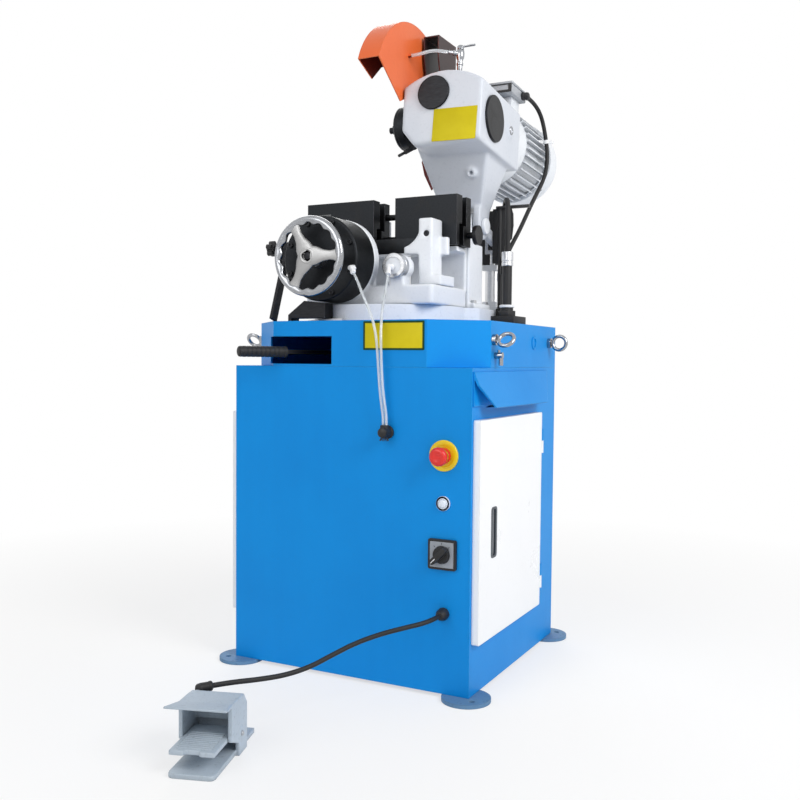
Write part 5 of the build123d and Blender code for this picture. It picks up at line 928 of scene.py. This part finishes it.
panelFront = -272
stopPlace, buttonPlace, switchPlace = (facing((238, panelFront, height)) for height in (514, 413.5, 306))
knobPlace = switchPlace @ Matrix.Rotation(deg(-45), 4, "Z")
faceTurns = [deg(a) for a in range(0, 360, 15)]
faceHole = [(19 * math.cos(a), 19 * math.sin(a)) for a in faceTurns]
faceEdge = [tuple(27 * max(-1, min(1, 1.4 * part)) for part in (math.cos(a), math.sin(a))) for a in faceTurns]
controls = (
    {"name": "stopCollarRing", "body": "base", "finish": "stopYellowMoulded", "steps": [
        ("lathe", [(19, 3.0), (32.2, 3.0), (32.6, 3.6), (31.8, 4.4), (24, 4.9), (22.5, 4.4), (21.5, 3.6),
                   (19, 3.6)],
         stopPlace, 64, True)]},
    {"name": "stopSleeve", "body": "base", "finish": "stopRedMoulded", "steps": [
        ("lathe", [(16.2, 3.4), (17.4, 3.4), (17.4, 12), (16.9, 13.4), (16.2, 13.8)], stopPlace, 48, True)]},
    {"name": "stopMushroom", "body": "estop_mushroom", "finish": "stopRedMoulded", "crease": 50,
     "stands": "estop_mushroom", "steps": [
         ("lathe", [(0, -22), (7.9, -22), (7.9, 22), (13, 22), (17.5, 22.8), (19.6, 25.4), (20, 28),
                    (19.7, 31), (18.4, 34.4), (16, 36.9), (12.5, 38), (9, 37.3), (5, 36.5),
                    (0, 36.2)], stopPlace, 64)]},
    {"name": "buttonBezel", "body": "base", "finish": "buttonWhiteMoulded", "steps": [
        ("lathe", [(11.4, 4.6), (15.2, 4.6), (15.2, 0.2), (15.6, 0.2), (15.6, 3.6), (15.3, 5.0), (11.4, 5.0)],
         buttonPlace, 48, True)]},
    {"name": "buttonCollar", "body": "base", "finish": "buttonWhiteMoulded", "steps": [
        ("lathe", [(9.3, 4.8), (11.5, 4.8), (11.5, 5.6), (10.6, 6.6), (9.3, 6.6)], buttonPlace, 48, True)]},
    {"name": "buttonLens", "body": "push_button", "finish": "buttonWhiteMoulded", "crease": 50,
     "stands": "push_button", "steps": [
         ("lathe", [(0, -24), (8.9, -24), (8.9, 6.4), (8.4, 7.6), (7, 8.4), (4, 8.9), (0, 9)], buttonPlace)]},
    {"name": "switchFace", "body": "base", "finish": "faceGreyMoulded", "steps": [
        ("window", faceEdge, faceHole, 6.9, 7.9, switchPlace)]},
    {"name": "switchMarks", "body": "base", "finish": "blackMoulded", "crease": 35, "steps": [
        ("block", (21.5, -0.6, 7.8), (25.5, 0.6, 8.2),
         switchPlace @ Matrix.Rotation(deg(angle), 4, "Z"), 0.15) for angle in (45, 90, 135)]},
    {"name": "switchKnob", "body": "switch_knob", "finish": "blackMoulded", "crease": 40,
     "stands": "switch_knob",
     "steps": [("lathe", [(0, -36), (5, -36), (5, 7.3), (17.4, 7.3), (18, 8), (18, 13.4), (17, 15),
                          (0, 15.3)],
                switchPlace), ("prism", roundedOutline(12, 46, 5), 12, 31.2, knobPlace, 1.6)]},
    {"name": "switchPointer", "body": "switch_knob", "finish": "fittingWhiteMoulded", "crease": 35, "steps": [
        ("block", (-0.9, -21, 30.6), (0.9, -7, 31.4), knobPlace, 0.2)]})
for piece in controls:
    assemble(piece)


# glands, rear inlets, hose elbows and the booster's sleeve

glandPlace = facing((241, panelFront, 180))
hoseX = 105
bristles = []
for k in range(14):
    lean = Vector((math.cos(k * 2.4), math.sin(k * 2.4), -2.2))
    bristles.append(("lathe", [(0, 0), (1.0, 0), (0.8, 11), (0, 12)],
                     aimed((hoseX + 5 * lean.x, -290 + 5 * lean.y, 551), lean), 6))
assemble({"name": "panelGlands", "body": "base", "finish": "blackMoulded", "crease": 32,
          "stands": "panel_glands", "steps": [
              ("prism", hexagon(14), 0, 8, glandPlace, 1.0),
              ("lathe", [(9, -6), (9, 0), (13, 0), (13, 9), (12.6, 13), (10.5, 18), (8.2, 23), (5.2, 24),
                         (0, 24)],
               glandPlace, 36),
              ("lathe", [(11.8, -6), (11.8, 1), (14.6, 1), (14.6, 5), (12, 6), (12, 24), (10.4, 29),
                         (6, 31.6), (0, 32)], facing((hoseX, panelFront, 558)), 36),
              ("lathe", [(0, -8), (9.6, -8), (9.9, 6), (9.9, 15), (8.8, 16), (0, 16)],
               aimed((hoseX, -288, 558), (0, 0, 1)), 36)] + bristles})
inletLine = [(4, 25.8), (7.4, 25.8), (8, 25), (8, 21), (7.3, 20.4), (8, 19.8), (8, 14), (9, 14), (9, -12),
             (4, -12)]
inletSteps = []
for x in (-120, 120):
    place = aimed((x, 272, 160), (0, 1, 0))
    inletSteps += [("prism", hexagon(15), 0, 14, place, 1.0), ("lathe", inletLine, place, 32, True)]
assemble({"name": "rearInlets", "body": "base", "finish": "groundSteel", "steps": inletSteps})
elbowSteps = []
for port, depth, end in (((-6, -235, 917), 16, (2, -248, 906)), ((54, -165, 924), 18, (56, -186, 906))):
    mouth = aimed(port, (0, -1, 0))
    bend = Vector((port[0], port[1] - depth * 0.64, port[2]))
    way = Vector(end) - bend
    reach = way.length
    elbowSteps += [
        ("prism", hexagon(8.4), 0, 4.5, mouth, 0.6),
        ("lathe", [(0, 0), (6.2, 0), (6.2, depth - 4), (5.4, depth - 1), (3.4, depth), (0, depth + 0.3)],
         mouth, 32),
        ("lathe", [(0, -3), (5.6, -3), (5.6, reach - 4), (6.6, reach - 3.4), (6.6, reach - 0.6),
                   (5.8, reach + 0.6), (3.1, reach + 1), (0, reach + 1)], aimed(bend, way), 32)]
assemble({"name": "hoseElbows", "body": "base", "finish": "fittingWhiteMoulded", "crease": 35,
          "steps": elbowSteps})
assemble({"name": "boosterSleeve", "body": "base", "finish": "groundSteel", "steps": [
    ("lathe", [(19, 1.2), (27, 1.2), (28.6, 0), (28.6, -9), (27.8, -10), (28.6, -11), (28.6, -24), (27, -25),
               (19, -25)], facing((58, -165, 927)), 56, True)]})


# blank plates

trayPlate = {"size": (147, 62), "border": 8.0, "place": facing((116, panelFront, 766))}
headPlate = {"size": (112, 78),
             "place": facing((142, -190, 199), headPlace) @ Matrix.Rotation(deg(-1.5), 4, "Z")}
width, height = trayPlate["size"]
assemble({"name": "trayPlate", "body": "base", "finish": "plateYellowEnamel", "steps": [
    ("prism", roundedOutline(width, height, 2.0, 3), 0, 0.9, trayPlate["place"], 0.25, 2)]})
assemble({"name": "trayPlateBorder", "body": "base", "finish": "plateGreenEnamel", "steps": [
    ("window", roundedOutline(width + 0.4, height + 0.4, 2.0, 3),
     roundedOutline(width - trayPlate["border"], height - trayPlate["border"], 1.2, 3), 0.0, 1.2,
     trayPlate["place"])]})
assemble({"name": "headPlate", "body": "head", "finish": "plateYellowEnamel", "steps": [
    ("prism", roundedOutline(*headPlate["size"], 2.0, 3), 0, 0.9, headPlate["place"], 0.25, 2)]})


# head fittings: oil plug, coolant tap, terminal box, cable strap

tapPlace = headPlace @ upright(112, -112)
barbPlace = (tapPlace @ Matrix.Translation((0, 0, 402)) @ Matrix.Rotation(deg(40), 4, "Z")
             @ Matrix.Rotation(deg(-90), 4, "Y"))
leverTurns = [2 * math.pi * k / 12 for k in range(12)]
leverRings = [[(reach, half * math.cos(a), 419.2 + rise + 2.4 * math.sin(a)) for a in leverTurns]
              for reach, half, rise in ((2, 4.0, 0), (14, 3.4, 0.2), (28, 4.2, 0.4), (35, 4.6, 0.4),
                                        (38, 3.0, 0.4))]
boxGlandPlace = aimed((185, 140, 361), (1, 0, 0), drivePlace)
strapSpot = (212.8, 435.5, 1314)
strapPlace = Matrix.Translation(strapSpot) @ Matrix.Rotation(deg(27), 4, "Z")
headFittings = (
    {"name": "oilPlug", "body": "head", "finish": "brightPlate", "steps": [
        ("lathe", [(0, -8), (11, -8), (11, 0.4), (10, 1.6), (7.6, 1.6), (6.8, 0.6), (6.8, -2.4), (0, -2.4)],
         aimed((214, -7.6, 234.9), (1, 0, 0), headPlace), 40)]},
    {"name": "coolantTap", "body": "head", "finish": "brightPlate", "crease": 32, "stands": "coolant_tap",
     "steps": [
        ("prism", hexagon(13), 329, 339, tapPlace, 1.0),
        ("lathe", [(0, 328), (9, 328), (9, 345), (7.6, 347), (6.6, 350), (6.6, 372), (8.2, 374), (8.2, 378),
                   (6.6, 380), (6.6, 386), (9.4, 391), (10.2, 398), (10.2, 404), (9.2, 410), (7, 412),
                   (4.9, 412.2), (4.9, 418), (0, 418)], tapPlace, 40),
        ("lathe", [(0, 0), (6.4, 0), (6.4, 16), (5.6, 17), (5.0, 20), (4.4, 20.2), (4.9, 23), (4.2, 23.2),
                   (4.7, 27), (4.0, 27.3), (4.2, 31), (0, 32)], barbPlace, 32)]},
    {"name": "tapLever", "body": "tap_lever", "finish": "brightPlate", "crease": 45, "stands": "tap_lever",
     "steps": [
        ("lathe", [(5.1, 412.4), (8, 412.4), (8, 420.5), (7, 421.8), (0, 422)], tapPlace, 36),
        ("skin", leverRings, tapPlace)]},
    {"name": "terminalBox", "body": "head", "finish": "boxGreyPaint", "crease": 40, "stands": "terminal_box",
     "steps": [("block", (100, 63, 350.8), (185, 169, 373), drivePlace, 2.2),
               ("block", (98, 61, 373.2), (187, 171, 379), drivePlace, 1.8)]},
    {"name": "boxFrame", "body": "head", "finish": "blackMoulded", "steps": [
        ("window", roundedOutline(84, 25, 2), roundedOutline(66, 13, 1.5), -0.5, 1.0,
         facing((142.5, 63, 364), drivePlace))]},
    {"name": "boxGland", "body": "head", "finish": "blackMoulded", "crease": 32, "steps": [
        ("prism", hexagon(11), 0, 7, boxGlandPlace, 0.8),
        ("lathe", [(0, 0), (9.4, 0), (9.4, 14), (8.2, 18), (5, 20), (0, 20)], boxGlandPlace, 32),
        ("lathe", [(0, -2), (8, -2), (8, 13), (7, 17), (5.6, 18.5), (0, 18.5)],
         aimed((195, 140, 361), (0, 1, 0), drivePlace), 32)]},
    {"name": "cableStrap", "body": "head", "finish": "fittingWhiteMoulded", "steps": [
        ("lathe", [(5.6, -5), (7.2, -5), (7.6, 0), (7.2, 5), (5.6, 5)],
         aimed(strapSpot, (0.09, 0.19, -0.98)), 28, True)] + [
             ("block", (start, -1.4, -4.6), (end, 1.4, 4.6), strapPlace, 0.6)
             for start, end in ((-25, -6.4), (6.4, 21))]})
for piece in headFittings:
    assemble(piece)


# conduit with its silver ferrule, riser and rest bar

conduitPlace = upright(213, 150)
assemble({"name": "conduitBlack", "body": "turntable", "finish": "blackMoulded", "crease": 32,
          "stands": "cable_conduits", "steps": [
              ("prism", hexagon(23), 824, 838, conduitPlace, 1.4),
              ("lathe", [(0, 830), (16, 830), (16, 845), (14.5, 846.5), (12, 847), (12, 950), (0, 950)],
               conduitPlace, 40),
              ("lathe", [(0, 824), (7, 824), (7, 931), (8.6, 932), (10, 933), (10, 941), (9.2, 942),
                         (10, 943), (10, 951), (8, 954.6), (0, 955)], upright(192, 182), 32),
              ("lathe", [(0, 840), (9, 840), (9, 846), (5, 847), (5, 1099.5), (0, 1099.5)],
               upright(174, 198), 24),
              ("block", (164, 191, 1099), (252, 205, 1106), level, 1.2)]})
assemble({"name": "conduitFerrule", "body": "turntable", "finish": "silverAlloy", "steps": [
    ("lathe", [(0, 949), (13.6, 949), (14.5, 950), (14.5, 957), (13.4, 958), (13.4, 961), (14.5, 962),
               (14.5, 982), (13.4, 984), (0, 984)], conduitPlace, 40)]})


# lock lever grip and door pulls

gripPlace = (Matrix.Translation((*stance["swivel"], 730)) @ Matrix.Rotation(deg(240), 4, "Z")
             @ Matrix.Rotation(deg(90), 4, "Y"))
gripLine = [(0, 283), (13.2, 283), (13.2, 288), (12.2, 289)]
for ring in range(9):
    start = 294 + 11 * ring
    gripLine += [(12.5, start), (12.5, start + 7), (12.1, start + 8), (12.1, start + 10)]
gripLine += [(12.4, 394), (11.8, 398), (9, 400), (0, 400.4)]
assemble({"name": "lockGrip", "body": "lock_lever", "finish": "blackRubber", "crease": 40, "steps": [
    ("lathe", gripLine, gripPlace, 40)]})
for side, name, body in ((-1, "doorPullLeft", "left_door"), (1, "doorPullRight", "right_door")):
    pullPlace = Matrix(((0, 0, side, 0), (side, 0, 0, -181), (0, 1, 0, 345.5), (0, 0, 0, 1)))
    assemble({"name": name, "body": body, "finish": "pullGreyMoulded", "steps": [
        ("window", roundedOutline(32, 110, 8), roundedOutline(16, 101, 5), 313, 317, pullPlace),
        ("prism", roundedOutline(17.4, 102.4, 4), 307.2, 308.2, pullPlace)]})


# dark covers behind the column, the slide's strip, coolant nozzle, red strip under the head, rings and elbow

shield = [(154, 1100), (204, 1100), (209, 1085), (210, 1056), (206, 1022), (186, 1004), (186, 962),
          (154, 962)]
nozzleStart = Vector((4, 32, 1234))
nozzleWay = Vector((-12, -12, 1208)) - nozzleStart
sidePlace = headPlace @ Matrix(((0, 0, 1, 0), (1, 0, 0, 0), (0, 1, 0, 0), (0, 0, 0, 1)))
trims = (
    {"name": "rearCovers", "body": "turntable", "finish": "blackRubber", "slot": "black_steel", "steps": [
        ("block", (183, 119, 805.5), (243, 207, 824.5), level, 1.0),
        ("block", (156, 156, 806), (183, 272.6, 841), level, 1.0),
        ("prism", shield, -200, -196, facing((0, 0, 0)), 0.8),
        ("block", (86, 258, 952), (162, 261, 1106), level, 0.8),
        ("block", (124, 250, 950), (160, 261, 960), level, 0.8)]},
    {"name": "slideStrip", "body": "vise_slide", "finish": "blackedIron", "crease": 35, "steps": [
        ("block", (-57, -64.6, 966), (90, -63.6, 1001), level, 0.3)]},
    {"name": "coolantNozzle", "body": "head", "finish": "blackMoulded", "crease": 32, "steps": [
        ("lathe", [(0, 0), (5.4, 0), (5.4, 26), (3.6, 28), (3.6, 50), (2.4, 51), (0, 51)],
         aimed(nozzleStart, nozzleWay), 28)]},
    {"name": "lowerStrip", "body": "head", "finish": "stripRedPaint", "steps": [
        ("prism", [(-62, 160), (-44, 160), (-28, 141), (10, 113), (3, 104), (-42, 131)],
         -3, 0.4, sidePlace, 0.5),
        ("lathe", [(0, -3.6), (6, -3.6), (6, 6), (0, 6)], aimed((0, -52, 161), (1, 0, 0), headPlace), 24)]},
    {"name": "trayRing", "body": "base", "finish": "cabinetBluePaint", "steps": [
        ("lathe", [(11, 0), (16, 0), (16, 1.4), (15, 2.2), (12, 2.2), (11, 1.4)],
         aimed((300, 107, 757), (1, 0, 0)), 40, True)]},
    {"name": "pedalElbow", "body": "base", "finish": "blackRubber", "crease": 32, "steps": [
        ("lathe", [(0, 84), (9, 84), (9, 105), (8.6, 109), (6.6, 112), (3, 113.4), (0, 113.6)],
         upright(-55, -704), 32),
        ("lathe", [(0, 0), (8.5, 0), (8.5, 16), (9.3, 17), (9.3, 21), (8.2, 22.6), (6, 24), (0, 24)],
         aimed((-55, -704, 106), (15, 18, 1)), 32)]},
    {"name": "conduitRing", "body": "turntable", "finish": "fittingWhiteMoulded", "steps": [
        ("lathe", [(12.2, 846), (18, 846), (18.6, 847), (18.6, 851), (17.6, 852.4), (12.2, 852.4)],
         conduitPlace, 40, True)]})
for piece in trims:
    assemble(piece)
print("fittings done")


# floor, world and lamps

def seenRays(wire):
    rays = wire.node("ShaderNodeLightPath", out="Is Camera Ray")
    return (rays + rays.out("Is Glossy Ray") + rays.out("Is Transmission Ray")).clamp()


def setStage(look):
    reach = look["reach"]
    floorMesh = bpy.data.meshes.new("floor")
    floorMesh.from_pydata([(-reach, -reach, 0), (reach, -reach, 0), (reach, reach, 0), (-reach, reach, 0)],
                          [], [(0, 1, 2, 3)])
    newObject("floor", floorMesh)
    made, wire, shader = startMaterial("paleFloor", {"Roughness": 0.7, "Base Color": rgb(0.93, 0.93, 0.93)})
    away = vectorMaths(wire, "LENGTH", wire.node("ShaderNodeTexCoord", out="Object"))
    white = look["white"] + ((away - look["near"]) / look["fade"]).clamp() * (1.0 - look["white"])
    glow = wire.node("ShaderNodeEmission", None, {"Color": rgb(1, 1, 1), "Strength": 1.0})
    mixed = wire.node("ShaderNodeMixShader", None, {0: seenRays(wire) * white,
                                                    1: Wire(wire.tree, shader.outputs[0]), 2: glow})
    wire.feed(wire.tree.nodes["Material Output"].inputs["Surface"], mixed)
    floorMesh.materials.append(made)
    world = bpy.data.worlds.new("studio")
    world.use_nodes = True
    sky = Wire(world.node_tree)
    backdrop = world.node_tree.nodes["Background"]
    sky.feed(backdrop.inputs["Color"], rgb(1, 1, 1))
    sky.feed(backdrop.inputs["Strength"], look["ambient"] + seenRays(sky) * (1.0 - look["ambient"]))
    bpy.context.scene.world = world
    for lamp in look["lamps"]:
        data = bpy.data.lights.new(lamp["name"], "AREA")
        data.energy = lamp["watts"]
        data.size = lamp["size"]
        made = newObject(lamp["name"], data)
        made.location = lamp["place"]
        aim = Vector(lamp["target"]) - Vector(lamp["place"])
        made.rotation_euler = aim.to_track_quat("-Z", "Y").to_euler()


setStage({"reach": 12.0, "white": 0.62, "near": 0.8, "fade": 1.3, "ambient": 0.43, "lamps": (
    {"name": "keyLamp", "watts": 68, "size": 1.6, "place": (2.9, -0.9, 2.3), "target": (0.2, 0.0, 0.8)},
    {"name": "frontLamp", "watts": 34, "size": 2.2, "place": (-0.6, -3.2, 2.2), "target": (0, 0, 0.8)},
    {"name": "backLamp", "watts": 30, "size": 1.8, "place": (-1.6, 2.4, 2.6), "target": (0, 0.1, 0.9)})})
bpy.context.scene.view_settings.view_transform = "Standard"
print("stage set")
